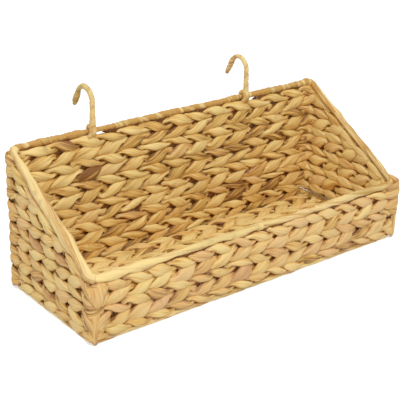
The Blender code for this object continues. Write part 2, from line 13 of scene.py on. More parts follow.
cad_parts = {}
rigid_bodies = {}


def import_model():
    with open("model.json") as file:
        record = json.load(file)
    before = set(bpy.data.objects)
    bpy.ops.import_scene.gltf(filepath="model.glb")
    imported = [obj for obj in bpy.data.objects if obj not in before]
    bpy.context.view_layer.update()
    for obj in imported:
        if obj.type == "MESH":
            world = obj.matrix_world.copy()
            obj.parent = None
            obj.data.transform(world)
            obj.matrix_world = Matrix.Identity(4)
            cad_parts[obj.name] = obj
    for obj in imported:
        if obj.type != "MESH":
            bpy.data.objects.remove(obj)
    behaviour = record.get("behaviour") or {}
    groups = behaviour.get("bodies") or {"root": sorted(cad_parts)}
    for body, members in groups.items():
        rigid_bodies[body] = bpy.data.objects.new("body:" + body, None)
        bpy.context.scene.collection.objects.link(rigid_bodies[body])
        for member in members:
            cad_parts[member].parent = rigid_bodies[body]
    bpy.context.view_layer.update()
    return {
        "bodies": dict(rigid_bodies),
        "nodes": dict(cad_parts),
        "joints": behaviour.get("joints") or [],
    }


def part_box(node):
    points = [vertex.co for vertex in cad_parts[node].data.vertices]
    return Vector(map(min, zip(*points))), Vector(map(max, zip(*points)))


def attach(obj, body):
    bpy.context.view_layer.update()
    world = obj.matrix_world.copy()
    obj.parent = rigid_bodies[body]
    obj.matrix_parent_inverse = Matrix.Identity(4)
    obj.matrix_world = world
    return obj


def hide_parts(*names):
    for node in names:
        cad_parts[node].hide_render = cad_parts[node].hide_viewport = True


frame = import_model()

bl_info = {
    "name": "Twined hanging basket",
    "version": (1, 0, 0),
    "blender": (4, 5, 0),
    "location": "3D View > Sidebar > Basket",
    "description": "Dresses a wire basket frame with twined and wound water hyacinth",
    "category": "Object",
}

# Counts of the weave, as the solids have them
FRONT_ROWS = 5
BACK_ROWS = 12
FLOOR_ROWS = 11
FRONT_INTERVALS = 16
BACK_INTERVALS = 14
SIDE_INTERVALS = 6

# Planes of the walls and floor, read from the frame
FRONT_LOW, FRONT_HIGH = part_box("front_weave")
LEFT_LOW, LEFT_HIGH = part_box("left_weave")
FLOOR_LOW, FLOOR_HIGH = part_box("floor_weave")
PIVOTS = [Vector(joint["pos_m"]) for joint in frame["joints"]]
HALF_WALL = (FRONT_HIGH.y - FRONT_LOW.y) / 2
MID_X = -(LEFT_LOW.x + LEFT_HIGH.x) / 2
MID_Y = -(FRONT_LOW.y + FRONT_HIGH.y) / 2
FOOT = FRONT_LOW.z
ROW_HEIGHT = (FRONT_HIGH.z - FOOT) / FRONT_ROWS
FLOOR_Z = (FLOOR_LOW.z + FLOOR_HIGH.z) / 2
BACK_RIM_Z = PIVOTS[0].z
FRONT_RIM_Z = FRONT_HIGH.z + BACK_RIM_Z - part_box("back_weave")[1].z

# Bends of the rods, and how close the two ends of a seam are to be welded
BEND_RADIUS = 0.008
WELD = 1e-6
# One millimetre
MM = 0.001


def linear(code):
    """Linear red, green and blue of an sRGB hex colour."""
    shares = [int(code[i:i + 2], 16) / 255 for i in (1, 3, 5)]
    return tuple(s / 12.92 if s <= 0.04045 else ((s + 0.055) / 1.055) ** 2.4 for s in shares)


def length_setting(name, description, default):
    return FloatProperty(name=name, description=description, default=default, unit="LENGTH")


def colour_setting(name, description, code):
    return FloatVectorProperty(name=name, description=description, default=linear(code), subtype="COLOR")


class BasketWeave(bpy.types.PropertyGroup):
    strand_width: length_setting("Strand width", "Width of a strand over a stake", 0.0131)
    fullness: FloatProperty(
        name="Fuller rows", description="How much broader the rows that lean up are", default=0.14, max=0.5
    )
    strand_thickness: length_setting("Strand thickness", "Thickness over a stake", 0.0060)
    crossing_width: length_setting("Crossing width", "Width where two strands cross", 0.0056)
    crossing_thickness: length_setting("Crossing thickness", "Thickness at a crossing", 0.0078)
    swing_out: length_setting("Swing out", "From the stakes to a strand's middle", 0.0030)
    swing_across: length_setting("Swing across", "From a row's middle to a crossing", 0.0033)
    unevenness: FloatProperty(
        name="Unevenness", description="Spread of widths from stitch to stitch", default=0.11, min=0.0
    )
    steps: IntProperty(name="Steps", description="Sections for each stitch", default=12, min=6)
    sides: IntProperty(name="Sides", description="Sides of a strand", default=20, min=8)
    seed: IntProperty(name="Seed", description="Changes the uneven strands", default=7)


class BasketStrip(bpy.types.PropertyGroup):
    rim_diameter: length_setting("Rim", "Diameter over the front and back rim", 0.0062)
    side_rim_diameter: length_setting("Side rims", "Diameter over the slanted rims", 0.0078)
    base_diameter: length_setting("Bottom edge", "Diameter over the bottom rods", 0.0056)
    hook_diameter: length_setting("Hook", "Diameter over a wrapped hook", 0.0048)
    back_turn: length_setting("Back turn", "Advance of one turn on the back rim", 0.0085)
    front_turn: length_setting("Front turn", "Advance of one turn on the front rim", 0.048)
    side_turn: length_setting("Side turn", "Advance of one turn on a side rim", 0.090)
    base_turn: length_setting("Bottom turn", "Advance of one turn on the bottom edge", 0.060)
    hook_turn: length_setting("Hook turn", "Advance of one turn on a hook", 0.012)
    step_height: length_setting("Step", "Step from one turn to the next", 0.0009)


class BasketColours(bpy.types.PropertyGroup):
    # The deep end of these colours is reached by the darkest tones and by painted shade, the pale end by the
    # palest tones and by painted highlight
    deep: colour_setting("Deep", "Darkest strands", "#84521f")
    middle: colour_setting("Middle", "Most strands", "#e4b663")
    pale: colour_setting("Pale", "Palest strands", "#f6da92")
    stain: colour_setting("Stain", "Brown marks", "#7d4a22")
    green: colour_setting("Green", "Strands dried green", "#c4b264")
    rose: colour_setting("Rosy", "Strands dried rosy", "#dfae7e")
    strip: colour_setting("Strip", "Strips round the rims", "#eecf90")
    strip_deep: colour_setting("Strip, deep", "Darker parts of the strips", "#c8974a")
    iron: colour_setting("Iron", "Bare wire", "#c6c2ba")


class BasketStudio(bpy.types.PropertyGroup):
    sky: FloatProperty(name="Sky", description="Strength of the even light", default=0.58, min=0.0)
    key: FloatProperty(name="Key", description="Power of the large lamp", default=20.0, min=0.0)


# Materials


def add_node(tree, kind, settings=None, **inputs):
    """A node with its settings, its values and its links; underscores in input names stand for spaces."""
    node = tree.nodes.new(kind)
    for name, value in (settings or {}).items():
        setattr(node, name, value)
    for name, value in inputs.items():
        key = int(name[1:]) if name[1:].isdigit() else name.replace("_", " ")
        socket = node.inputs[key]
        if isinstance(value, bpy.types.NodeSocket):
            tree.links.new(value, socket)
        else:
            socket.default_value = value
    return node


def new_material(name):
    material = bpy.data.materials.new(name)
    material.use_nodes = True
    tree = material.node_tree
    tree.nodes.clear()
    return material, tree


def colour_ramp(tree, factor, stops):
    ramp = add_node(tree, "ShaderNodeValToRGB", Fac=factor)
    elements = ramp.color_ramp.elements
    while len(elements) < len(stops):
        elements.new(1.0)
    for element, (place, colour) in zip(elements, stops):
        element.position = place
        element.color = (*colour, 1.0)
    return ramp.outputs["Color"]


def noise(tree, place, scale, detail):
    return add_node(tree, "ShaderNodeTexNoise", Vector=place, Scale=scale, Detail=detail).outputs["Fac"]


def grain(tree, fibre, per_metre, detail):
    """Noise drawn out along the fibres, given its changes per metre along a strand and across it."""
    along, across = per_metre
    place = add_node(
        tree, "ShaderNodeVectorMath", {"operation": "MULTIPLY"}, _0=fibre, _1=(along, across, across)
    ).outputs["Vector"]
    return noise(tree, place, 1.0, detail)


def ranged(tree, value, old, new):
    """The value carried from its old range to a new one."""
    low, high = old
    to_low, to_high = new
    return add_node(
        tree, "ShaderNodeMapRange", Value=value, From_Min=low, From_Max=high, To_Min=to_low, To_Max=to_high
    ).outputs["Result"]


def calculated(tree, operation, **values):
    return add_node(tree, "ShaderNodeMath", {"operation": operation}, **values).outputs[0]


def tinted(tree, share, colour, tint):
    """The colour with a share of a tint mixed in."""
    return add_node(
        tree, "ShaderNodeMix", {"data_type": "RGBA"}, _0=share, _6=colour, _7=(*tint, 1.0)
    ).outputs[2]


# Changes per metre along a strand and across it. Fibres of the dried stalk are drawn 1.4 mm apart, coarser than
# they are, so that they show. Streaks are 4 mm apart and patches 15 mm
FIBRES_PER_METRE = (40.0, 700.0)
STREAKS_PER_METRE = (22.0, 260.0)
PATCHES_PER_METRE = 65.0
FIBRE_DEPTH = 0.0006
# Rise of a strand's crest over its edges, over which the colour turns from painted shade at the edges to a
# painted highlight on the crest
CREST_RISE = 0.0026
# Range of each noise that is used, and the change of tone over it
STREAK_RANGE = (0.25, 0.75)
FIBRE_RANGE = (0.3, 0.7)
GRAIN_TONES = (-0.36, 0.36)
# Over the rise the tone goes from painted shade at a strand's edges to a painted highlight on its crest
PAINTED_EDGE_SHADE_CREST_HIGHLIGHT = (-0.56, 0.20)
# Patches over this range are stained, up to this share
STAIN_RANGE = (0.63, 0.78)
STAIN_SHARES = (0.0, 0.7)


def fibre_material(name, colours, depth, roughness):
    """Dried plant strip: fine fibres along it, streaks, stains, a tone of its own for each strand, and painted
    shade at its edges with a painted highlight on its crest.
    """
    deep, middle, pale, stain, green, rose = colours
    material, tree = new_material(name)
    fibre = add_node(tree, "ShaderNodeAttribute", {"attribute_name": "fibre"}).outputs["Vector"]
    tone = add_node(tree, "ShaderNodeAttribute", {"attribute_name": "tone"}).outputs["Vector"]
    parts = add_node(tree, "ShaderNodeSeparateXYZ", Vector=tone).outputs
    fine = grain(tree, fibre, FIBRES_PER_METRE, 4.0)
    streak = grain(tree, fibre, STREAKS_PER_METRE, 2.0)
    patch = noise(tree, add_node(tree, "ShaderNodeTexCoord").outputs["Object"], PATCHES_PER_METRE, 3.0)

    # Tone of the strand, moved by streaks, by fine fibres and by painted shade and highlight along the rise
    # from its edges to its crest
    height = add_node(tree, "ShaderNodeSeparateXYZ", Vector=fibre).outputs["Z"]
    rise = calculated(tree, "ABSOLUTE", _0=height)
    moved = calculated(tree, "ADD", _0=parts["X"], _1=ranged(tree, streak, STREAK_RANGE, GRAIN_TONES))
    moved = calculated(tree, "ADD", _0=moved, _1=ranged(tree, fine, FIBRE_RANGE, GRAIN_TONES))
    moved = calculated(tree, "ADD", _0=moved, _1=ranged(tree, rise, (0.0, CREST_RISE), PAINTED_EDGE_SHADE_CREST_HIGHLIGHT))
    colour = colour_ramp(tree, moved, ((0.0, deep), (0.5, middle), (1.0, pale)))
    colour = tinted(tree, parts["Y"], colour, green)
    colour = tinted(tree, parts["Z"], colour, rose)
    marks = calculated(tree, "MULTIPLY", _0=ranged(tree, patch, STAIN_RANGE, STAIN_SHARES), _1=streak)
    colour = tinted(tree, marks, colour, stain)

    relief = calculated(tree, "ADD", _0=fine, _1=streak)
    bump = add_node(tree, "ShaderNodeBump", Height=relief, Strength=0.9, Distance=depth).outputs["Normal"]
    shader = add_node(
        tree, "ShaderNodeBsdfPrincipled", Base_Color=colour, Roughness=roughness, Normal=bump, IOR=1.45
    )
    add_node(tree, "ShaderNodeOutputMaterial", Surface=shader.outputs["BSDF"])
    return material


def hyacinth_material():
    """Water hyacinth stalk, dried and twined: matt tan, long soft fibres, and a faint gloss and a painted
    highlight on the crests.
    """
    name = "dried_water_hyacinth"
    c = bpy.context.scene.basket_colours
    colours = (c.deep, c.middle, c.pale, c.stain, c.green, c.rose)
    return bpy.data.materials.get(name) or fibre_material(name, colours, FIBRE_DEPTH, 0.62)


def strip_material():
    """Pale split stalk, wound damp round the rods and dried smooth: straw yellow with a soft gloss, painted
    shade at its edges and seams and a painted highlight on its crests.
    """
    name = "split_hyacinth_strip"
    c = bpy.context.scene.basket_colours
    colours = (c.strip_deep, c.strip, c.pale, c.stain, c.green, c.rose)
    return bpy.data.materials.get(name) or fibre_material(name, colours, FIBRE_DEPTH / 2, 0.52)


# Patches of the iron are 2.5 mm apart. The dull ones have this share of the bright ones' colour
IRON_PATCHES_PER_METRE = 400.0
DULL_SHARE = 0.6


def iron_material():
    """Drawn iron wire, bare grey with dull patches."""
    known = bpy.data.materials.get("drawn_iron_wire")
    if known:
        return known
    material, tree = new_material("drawn_iron_wire")
    iron = bpy.context.scene.basket_colours.iron
    patch = noise(tree, add_node(tree, "ShaderNodeTexCoord").outputs["Object"], IRON_PATCHES_PER_METRE, 3.0)
    dull = tuple(value * DULL_SHARE for value in iron)
    colour = colour_ramp(tree, patch, ((0.35, dull), (0.6, iron)))
    rough = ranged(tree, patch, (0.3, 0.7), (0.55, 0.35))
    shader = add_node(tree, "ShaderNodeBsdfPrincipled", Base_Color=colour, Roughness=rough, Metallic=1.0)
    add_node(tree, "ShaderNodeOutputMaterial", Surface=shader.outputs["BSDF"])
    return material


# Skins and pieces


# Height of the flattened strands that the basket rests on
RESTING = 0.0002


def new_bmesh():
    bm = bmesh.new()
    bm.verts.layers.float_vector.new("fibre")
    bm.verts.layers.float_vector.new("tone")
    return bm


def add_skin(bm, points, fibre, tone):
    """A closed skin over rings of points. Each ring's last point repeats its first and is welded to it."""
    points[..., 2] = np.maximum(points[..., 2], RESTING)
    rings, around = points.shape[:2]
    made = bmesh.ops.create_grid(bm, x_segments=rings - 1, y_segments=around - 1, size=1.0)["verts"]
    fibre_layer = bm.verts.layers.float_vector["fibre"]
    tone_layer = bm.verts.layers.float_vector["tone"]
    for i, vert in enumerate(made):
        ring = i % rings
        column = i // rings
        vert.co = points[ring, column]
        vert[fibre_layer] = Vector(fibre[ring, column])
        vert[tone_layer] = Vector(tone[ring])
    bmesh.ops.remove_doubles(bm, verts=made, dist=WELD)


def finish_piece(name, bm, material, body="basket", replaced=True):
    """Make the piece's object, which stands for the solid of the same name if there is one."""
    bmesh.ops.recalc_face_normals(bm, faces=bm.faces)
    mesh = bpy.data.meshes.new(name + "_look")
    bm.to_mesh(mesh)
    bm.free()
    mesh.shade_smooth()
    mesh.materials.append(material)
    piece = bpy.data.objects.new(name + "_look", mesh)
    bpy.context.collection.objects.link(piece)
    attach(piece, body)
    if replaced:
        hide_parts(name)
    return piece


def own_random(number):
    """Random numbers of a piece's own, so that a change to one piece leaves the others as they are."""
    return np.random.default_rng(bpy.context.scene.basket_weave.seed + number)


def smooth_share(value, low, high):
    share = np.clip((value - low) / (high - low), 0.0, 1.0)
    return share * share * (3.0 - 2.0 * share)


def unit(vectors):
    return vectors / np.linalg.norm(vectors, axis=-1, keepdims=True)


def round_ends(before, after, over):
    """1 along a strand, falling to 0 as a round end over this much of it at both its ends."""
    return np.sqrt(np.clip(np.minimum(before, after) / over, 0.0, 1.0))


def lengths_along(points):
    """Length of a line of points up to each of them."""
    return np.concatenate(([0.0], np.cumsum(np.linalg.norm(np.diff(points, axis=0), axis=1))))


class FlatFace:
    """Places a point given along the rows, across them and outward on a flat wall or floor."""

    def __init__(self, origin, along, across):
        self.origin = np.array(origin)
        outward = Vector(along).cross(Vector(across))
        self.axes = np.array([along, across, outward])

    def place(self, points):
        return self.origin + points @ self.axes


class CornerFace:
    """The same round a corner post: along runs round the bend, up is up, and out is away from the post."""

    def __init__(self, x_sign, y_sign, inset, bend, side=1):
        self.signs = np.array((x_sign, y_sign))
        self.centre = self.signs * (np.array((MID_X, MID_Y)) - inset)
        self.inset, self.bend, self.side = inset, bend, side

    def place(self, points):
        along, up, out = points[..., 0], points[..., 1], points[..., 2]
        radius = self.inset + self.side * out
        half_arc = self.bend * math.pi / 4
        on_arc = np.clip(along, -half_arc, half_arc)
        past = along - on_arc
        angle = math.pi / 4 + on_arc / self.bend
        x = radius * np.cos(angle) - past * np.sin(angle)
        y = radius * np.sin(angle) + past * np.cos(angle)
        return np.stack((self.centre[0] + self.signs[0] * x, self.centre[1] + self.signs[1] * y, up), axis=-1)


# Waves round a strand, as folds of the dried leaf, with their depth as a share of its radius, and the most
# radians per metre by which they turn
FOLDS = ((2, 0.03), (3, 0.05), (5, 0.05), (7, 0.04))
FOLD_TURN = 40
FULLNESS = 0.88
# Strands start anywhere within this length of the fibre pattern
FIBRE_SHIFT = 10.0


def fullness(value):
    """Make an ellipse a little fuller at its corners."""
    return np.sign(value) * np.abs(value) ** FULLNESS


def add_strand(bm, face, line, rng):
    """Sweep a folded leaf section along a strand's line, in the plane of a face if it has one."""
    centre, out = line["centre"], line["out"]
    along = unit(np.gradient(centre, axis=0))
    out = unit(out - np.sum(out * along, axis=1, keepdims=True) * along)
    across = np.cross(out, along)
    length = lengths_along(centre)
    sides = line.get("sides", bpy.context.scene.basket_weave.sides)
    turn = np.linspace(0.0, 2 * math.pi, sides + 1)
    fold = np.ones((len(centre), sides + 1))
    for waves, depth in FOLDS:
        drift = rng.uniform(0, 2 * math.pi) + rng.uniform(-FOLD_TURN, FOLD_TURN) * length
        fold += depth * np.cos(waves * turn[None, :] + drift[:, None])
    wide = line["width"][:, None] / 2 * fullness(np.cos(turn)) * fold
    deep = line["thickness"][:, None] / 2 * fullness(np.sin(turn)) * fold
    points = centre[:, None, :] + wide[..., None] * across[:, None, :] + deep[..., None] * out[:, None, :]
    points[:, -1] = points[:, 0]
    if face:
        points = face.place(points)
    start = rng.uniform(0.0, FIBRE_SHIFT)
    # The fibre's third value is the height over the strand's middle, which the material turns into painted
    # shade at the edges and a painted highlight on the crest
    fibre = np.stack((np.broadcast_to(length[:, None] + start, wide.shape), wide + start, deep), axis=-1)
    add_skin(bm, points, fibre, line["tone"])


# Part of the way from one stitch to the next in which the first one's values change to the second one's
CHANGE = (0.3, 0.7)


def blended(values, turn, first):
    """Value of each stitch, changing to the next one's where the strands cross."""
    base = np.floor(turn).astype(int)
    share = smooth_share(turn - base, *CHANGE)
    return values[base - first] * (1 - share) + values[base - first + 1] * share


# How far a strand rolls where it dives between two stakes, and how much painted shade darkens it there
ROLL = 0.45
PAINTED_DIVE_SHADE = 0.16
# How pointed a stitch is
CREST_POINT = 1.1
SIDE_POINT = 1.35
# Share of the stitches that are darker leaves, and how much darker
DARK_SHARE = 0.06
DARK_DROP = 0.28
# Part of a stitch in which a strand's end closes
END_SHARE = 0.12
# Spread of a stitch's phase, lean, swing and place across and along its row
PHASE_SPREAD = 0.04
LEAN_SPREAD = 0.28
SWING_SPREAD = 0.10
ACROSS_SPREAD = 0.0004
ALONG_SPREAD = 0.0014
# Spread of tone, green and rose from strand to strand, that of tone and green from stitch to stitch, and the
# most green and rose
STRAND_SPREADS = (0.08, 0.06, 0.08)
TONE_SPREAD = 0.20
GREEN_SPREAD = 0.08
MOST_GREEN = 0.4
MOST_ROSE = 0.7
# Waves of the rows: height, radians per metre along and across, and start
ROW_WAVES = ((0.0008, 57, 74, 0.0), (0.0006, 103, -95, 1.0))


def wander(along, across):
    """Slow drift of the rows up and down a wall, nearly the same in neighbouring rows."""
    return sum(height * np.sin(u * along + v * across + start) for height, u, v, start in ROW_WAVES)


def twined_line(row, strand, rng):
    """One of a row's two strands: half a turn round the row's middle for each stake."""
    look = bpy.context.scene.basket_weave
    first, last = row["first"], row["last"]
    count = max(4, int(round((last - first) * look.steps)))
    turn = np.linspace(first, last, count + 1)
    low = int(math.floor(first))
    stitches = int(math.ceil(last)) - low + 2

    def uneven(spread):
        return blended(rng.normal(0.0, spread, stitches), turn, low)

    phase = math.pi * (turn + strand + uneven(PHASE_SPREAD))
    crest = np.abs(np.cos(phase)) ** row.get("point", CREST_POINT)
    size = row.get("size", 1.0)
    broad = 1 + row["lean"] * look.fullness
    crossing_width = look.crossing_width * row.get("crossing", 1.0)
    width = crossing_width + (look.strand_width - crossing_width) * crest
    thickness = look.crossing_thickness + (look.strand_thickness - look.crossing_thickness) * crest
    end = round_ends(turn - first, last - turn, END_SHARE)
    lean = row["lean"] * (1 + uneven(LEAN_SPREAD))
    u = row["start"] + turn * row["pitch"]
    v = row["middle"] + wander(u, row["middle"]) + lean * broad * look.swing_across * size * np.sin(phase)
    v = v + uneven(ACROSS_SPREAD)
    u = u + uneven(ALONG_SPREAD)
    depth = row.get("depth", 1.0)
    w = depth * look.swing_out * np.cos(phase) * (1 + uneven(SWING_SPREAD))
    dark = blended(DARK_DROP * (rng.random(stitches) < DARK_SHARE), turn, low)
    by_tone, by_green, by_rose = STRAND_SPREADS
    tone = row["tone"] + rng.normal(0.0, by_tone) + uneven(TONE_SPREAD)
    # Darker leaves at random, and painted shade where the strand dives between two stakes
    tone = tone - dark - PAINTED_DIVE_SHADE * np.sin(phase) ** 2
    green = np.clip(row["green"] + rng.normal(0.0, by_green) + uneven(GREEN_SPREAD), 0.0, MOST_GREEN)
    rose = np.clip(row["rose"] + rng.normal(0.0, by_rose) + uneven(row["rose_spread"]), 0.0, MOST_ROSE)
    return {
        "centre": np.stack((u, v, w), axis=-1),
        "out": np.stack((np.zeros_like(u), ROLL * row["lean"] * np.sin(phase), np.ones_like(u)), axis=-1),
        "width": width * (1 + uneven(look.unevenness)) * size * broad * end,
        "thickness": depth * thickness * (1 + uneven(look.unevenness / 2)) * end,
        "tone": np.stack((tone, green, rose), axis=-1),
    }


# Inner plies, with the spacing and the least number of their sections, and their places in a row's height
PLY_WIDTH = 0.0070
PLY_THICKNESS = 0.0022
# The plies' tone is painted shade in the gaps between the strands
PLY_PAINTED_SHADE_TONE = -0.1
PLY_STEP = 0.008
PLY_SIDES = 8
PLY_LEAST = 4
PLY_PLACES = (0.0, 0.5)


def add_plies(bm, face, start, end, middle, rng):
    """Inner plies of a row, nearly hidden, which close the gaps beside the crossings and are painted dark as
    the shade in them.
    """
    count = max(PLY_LEAST, int((end - start) / PLY_STEP))
    u = np.linspace(start, end, count + 1)
    body = np.ones_like(u)
    body[0] = body[-1] = 0.0
    line = {
        "centre": np.stack((u, middle + wander(u, middle), np.zeros_like(u)), axis=-1),
        "out": np.tile((0.0, 0.0, 1.0), (count + 1, 1)),
        "width": PLY_WIDTH * body,
        "thickness": PLY_THICKNESS * body,
        "tone": np.stack((PLY_PAINTED_SHADE_TONE * np.ones_like(u), np.zeros_like(u), np.zeros_like(u)), axis=-1),
        "sides": PLY_SIDES,
    }
    add_strand(bm, face, line, rng)


def add_row(bm, face, row, rng):
    for strand in (0, 1):
        add_strand(bm, face, twined_line(row, strand, rng), rng)


def lean_of(row, rows):
    """The top row leans down to the right, and the lean changes from row to row."""
    return -1.0 if (rows - 1 - row) % 2 == 0 else 1.0


def rim_slope():
    """Direction of the slanted rims, from the front up to the back, in the plane of a side wall."""
    run = Vector((2 * MID_Y, BACK_RIM_Z - FRONT_RIM_Z))
    return run.normalized(), run.length


# Woven walls and floor

# Where the rows start, in pitches from the post's middle: a little past it
ROW_END = -0.03
# The lowest row is drawn in and lifted, so that the wound bottom edge shows under it
LOWEST_SHARE = 0.86
LOWEST_LIFT = 0.0014

# Tone, green and rosy share of the leaves. Each wall's tone is painted light and shade, set by how bright the
# wall shows as it is lit: the back wall painted darker, the right wall and the floor painted lighter. Walls
# seen from outside are rosier than inner ones
FRONT_TINT_AND_PAINTED_LIGHT = {"tone": 0.76, "green": 0.0, "rose": 0.26, "rose_spread": 0.18}
LEFT_TINT_AND_PAINTED_LIGHT = {"tone": 0.70, "green": 0.0, "rose": 0.10, "rose_spread": 0.16}
BACK_TINT_AND_PAINTED_SHADE = {"tone": 0.60, "green": 0.02, "rose": 0.0, "rose_spread": 0.10}
RIGHT_TINT_AND_PAINTED_LIGHT = {"tone": 0.92, "green": 0.0, "rose": 0.03, "rose_spread": 0.12}
FLOOR_TINT_AND_PAINTED_LIGHT = {"tone": 0.86, "green": 0.0, "rose": 0.02, "rose_spread": 0.12}


def upright_row(k):
    """Middle and size of a row of a wall, counted from the lowest."""
    middle = FOOT + (k + 0.5) * ROW_HEIGHT
    if k:
        return {"middle": middle, "size": 1.0}
    return {"middle": middle + LOWEST_LIFT, "size": LOWEST_SHARE}


def add_plain_wall(name, y, rows, intervals, tint, rng, clear_of=()):
    """Level rows from corner to corner. The plies under the rim stop between each two places named."""
    face = FlatFace((0.0, y, 0.0), (1.0, 0.0, 0.0), (0.0, 0.0, 1.0))
    bm = new_bmesh()
    for k in range(rows):
        row = {
            "first": ROW_END, "last": intervals - ROW_END, "start": -MID_X, "pitch": 2 * MID_X / intervals,
            "lean": lean_of(k, rows), **upright_row(k), **tint,
        }
        add_row(bm, face, row, rng)
        for share in PLY_PLACES:
            add_plies(bm, face, -MID_X, MID_X, FOOT + (k + share) * ROW_HEIGHT + LOWEST_LIFT, rng)
    edges = sorted([-MID_X, *clear_of, MID_X])
    for start, end in zip(edges[::2], edges[1::2]):
        add_plies(bm, face, start, end, FOOT + rows * ROW_HEIGHT, rng)
    return finish_piece(name, bm, hyacinth_material())


# Lean and crossing share of the rows that lean up and of those that lean down, and the same of the slanted row
LEFT_LEANS = ((0.45, 0.75), (-0.9, 0.85))
RIGHT_LEANS = ((0.9, 0.9), (-0.5, 0.9))
SLANTED_LEAN = 0.4
SLANTED_CROSSING = 0.9
# Size of the slanted row's stitches
SLANTED_ROW_SHARE = 0.84
# Plies over and under the slanted row, from its middle
SLANTED_PLIES = 0.0056
# Share of a pitch by which a level row goes in under the slanted one, and the shortest level row
SLANTED_ROW_TUCK = 0.1
SHORTEST_ROW = 0.4
# Clear room beside each hook under the rim
HOOK_CLEARANCE = 0.013


def add_side_wall(name, x, leans, tint, rng, rim_share=1.0):
    """Level rows that end under the slanted row, which runs along the rim."""
    strip = bpy.context.scene.basket_strip
    look = bpy.context.scene.basket_weave
    face = FlatFace((x, 0.0, 0.0), (0.0, -1.0, 0.0), (0.0, 0.0, 1.0))
    pitch = 2 * MID_Y / SIDE_INTERVALS
    slope, run = rim_slope()
    rise = slope.y / slope.x
    drop = rim_share * strip.side_rim_diameter / 2 + look.strand_width * SLANTED_ROW_SHARE / 2
    below = drop / slope.x
    bm = new_bmesh()
    for k in range(BACK_ROWS):
        middle = upright_row(k)["middle"]
        y_end = -MID_Y + (middle - FRONT_RIM_Z + below) / rise
        last = min(SIDE_INTERVALS - ROW_END, (MID_Y - y_end) / pitch + SLANTED_ROW_TUCK)
        if last < SHORTEST_ROW:
            continue
        lean, crossing = leans[0] if lean_of(k, BACK_ROWS) > 0 else leans[1]
        row = {
            "first": ROW_END, "last": last, "start": -MID_Y, "pitch": pitch,
            "lean": lean, "crossing": crossing, "point": SIDE_POINT, **upright_row(k), **tint,
        }
        add_row(bm, face, row, rng)
        for share in PLY_PLACES:
            height = FOOT + (k + share) * ROW_HEIGHT + LOWEST_LIFT
            add_plies(bm, face, -MID_Y, -MID_Y + last * pitch, height, rng)
    along = (0.0, -slope.x, -slope.y)
    across = (0.0, -slope.y, slope.x)
    origin = Vector((x, MID_Y, BACK_RIM_Z)) - Vector(across) * drop
    slanted = FlatFace(origin, along, across)
    row = {
        "first": ROW_END, "last": SIDE_INTERVALS - ROW_END, "start": 0.0, "pitch": run / SIDE_INTERVALS,
        "middle": 0.0, "lean": SLANTED_LEAN, "crossing": SLANTED_CROSSING, "size": SLANTED_ROW_SHARE, **tint,
    }
    add_row(bm, slanted, row, rng)
    for middle in (-SLANTED_PLIES, SLANTED_PLIES):
        add_plies(bm, slanted, 0.0, run, middle, rng)
    return finish_piece(name, bm, hyacinth_material())


class BASKET_OT_woven_walls(bpy.types.Operator):
    """Twine the four walls"""

    bl_idname = "basket.woven_walls"
    bl_label = "Woven walls"

    def execute(self, context):
        add_plain_wall("front_weave", -MID_Y, FRONT_ROWS, FRONT_INTERVALS, FRONT_TINT_AND_PAINTED_LIGHT, own_random(0))
        hooks = [pivot.x + side * HOOK_CLEARANCE for pivot in PIVOTS for side in (-1, 1)]
        add_plain_wall("back_weave", MID_Y, BACK_ROWS, BACK_INTERVALS, BACK_TINT_AND_PAINTED_SHADE, own_random(1), hooks)
        add_side_wall("left_weave", -MID_X, LEFT_LEANS, LEFT_TINT_AND_PAINTED_LIGHT, own_random(2))
        add_side_wall("right_weave", MID_X, RIGHT_LEANS, RIGHT_TINT_AND_PAINTED_LIGHT, own_random(3), RIGHT_SHARE)
        return {"FINISHED"}


# The floor's strands are pressed flatter than the walls'
FLOOR_DEPTH = 0.84
FLOOR_CROSSING = 0.8


class BASKET_OT_woven_floor(bpy.types.Operator):
    """Twine the floor, its rows along the basket"""

    bl_idname = "basket.woven_floor"
    bl_label = "Woven floor"

    def execute(self, context):
        rng = own_random(4)
        face = FlatFace((0.0, 0.0, FLOOR_Z), (1.0, 0.0, 0.0), (0.0, 1.0, 0.0))
        spacing = (FLOOR_HIGH.y - FLOOR_LOW.y) / FLOOR_ROWS
        bm = new_bmesh()
        for k in range(FLOOR_ROWS):
            row = {
                "first": ROW_END, "last": BACK_INTERVALS - ROW_END, "start": -MID_X,
                "pitch": 2 * MID_X / BACK_INTERVALS, "middle": FLOOR_LOW.y + (k + 0.5) * spacing,
                "lean": lean_of(k, FLOOR_ROWS), "depth": FLOOR_DEPTH, "crossing": FLOOR_CROSSING,
                **FLOOR_TINT_AND_PAINTED_LIGHT,
            }
            add_row(bm, face, row, rng)
            for share in (*PLY_PLACES, 1.0):
                add_plies(bm, face, -MID_X, MID_X, FLOOR_LOW.y + (k + share) * spacing, rng)
        finish_piece("floor_weave", bm, hyacinth_material())
        return {"FINISHED"}


# Broad stitches round the corners


# Tone and rosy share, and their spread
CORNER_TINT = (0.52, 0.20)
BROAD_LEAF_TINT = (0.62, 0.30)
CORNER_TINT_SPREAD = 0.06
# Sections of a stitch, and how many its stops are eased over
CORNER_STEPS = 24
CORNER_EASING = 5
# From the walls' middle planes to the bend's centre, and the radius of the inner bend
OUTER_INSET = 0.0005
INNER_INSET = 0.0090
INNER_BEND = 0.0060
# How far the outer stitches stand out, their height as a share of a row's and their tilt, with their spreads
CORNER_OUT = 0.0042
CORNER_OUT_SPREAD = 0.0003
CORNER_HEIGHT = 1.05
CORNER_HEIGHT_SPREAD = 0.06
CORNER_TILT = 0.0012
CORNER_LIFT_SPREAD = 0.0008


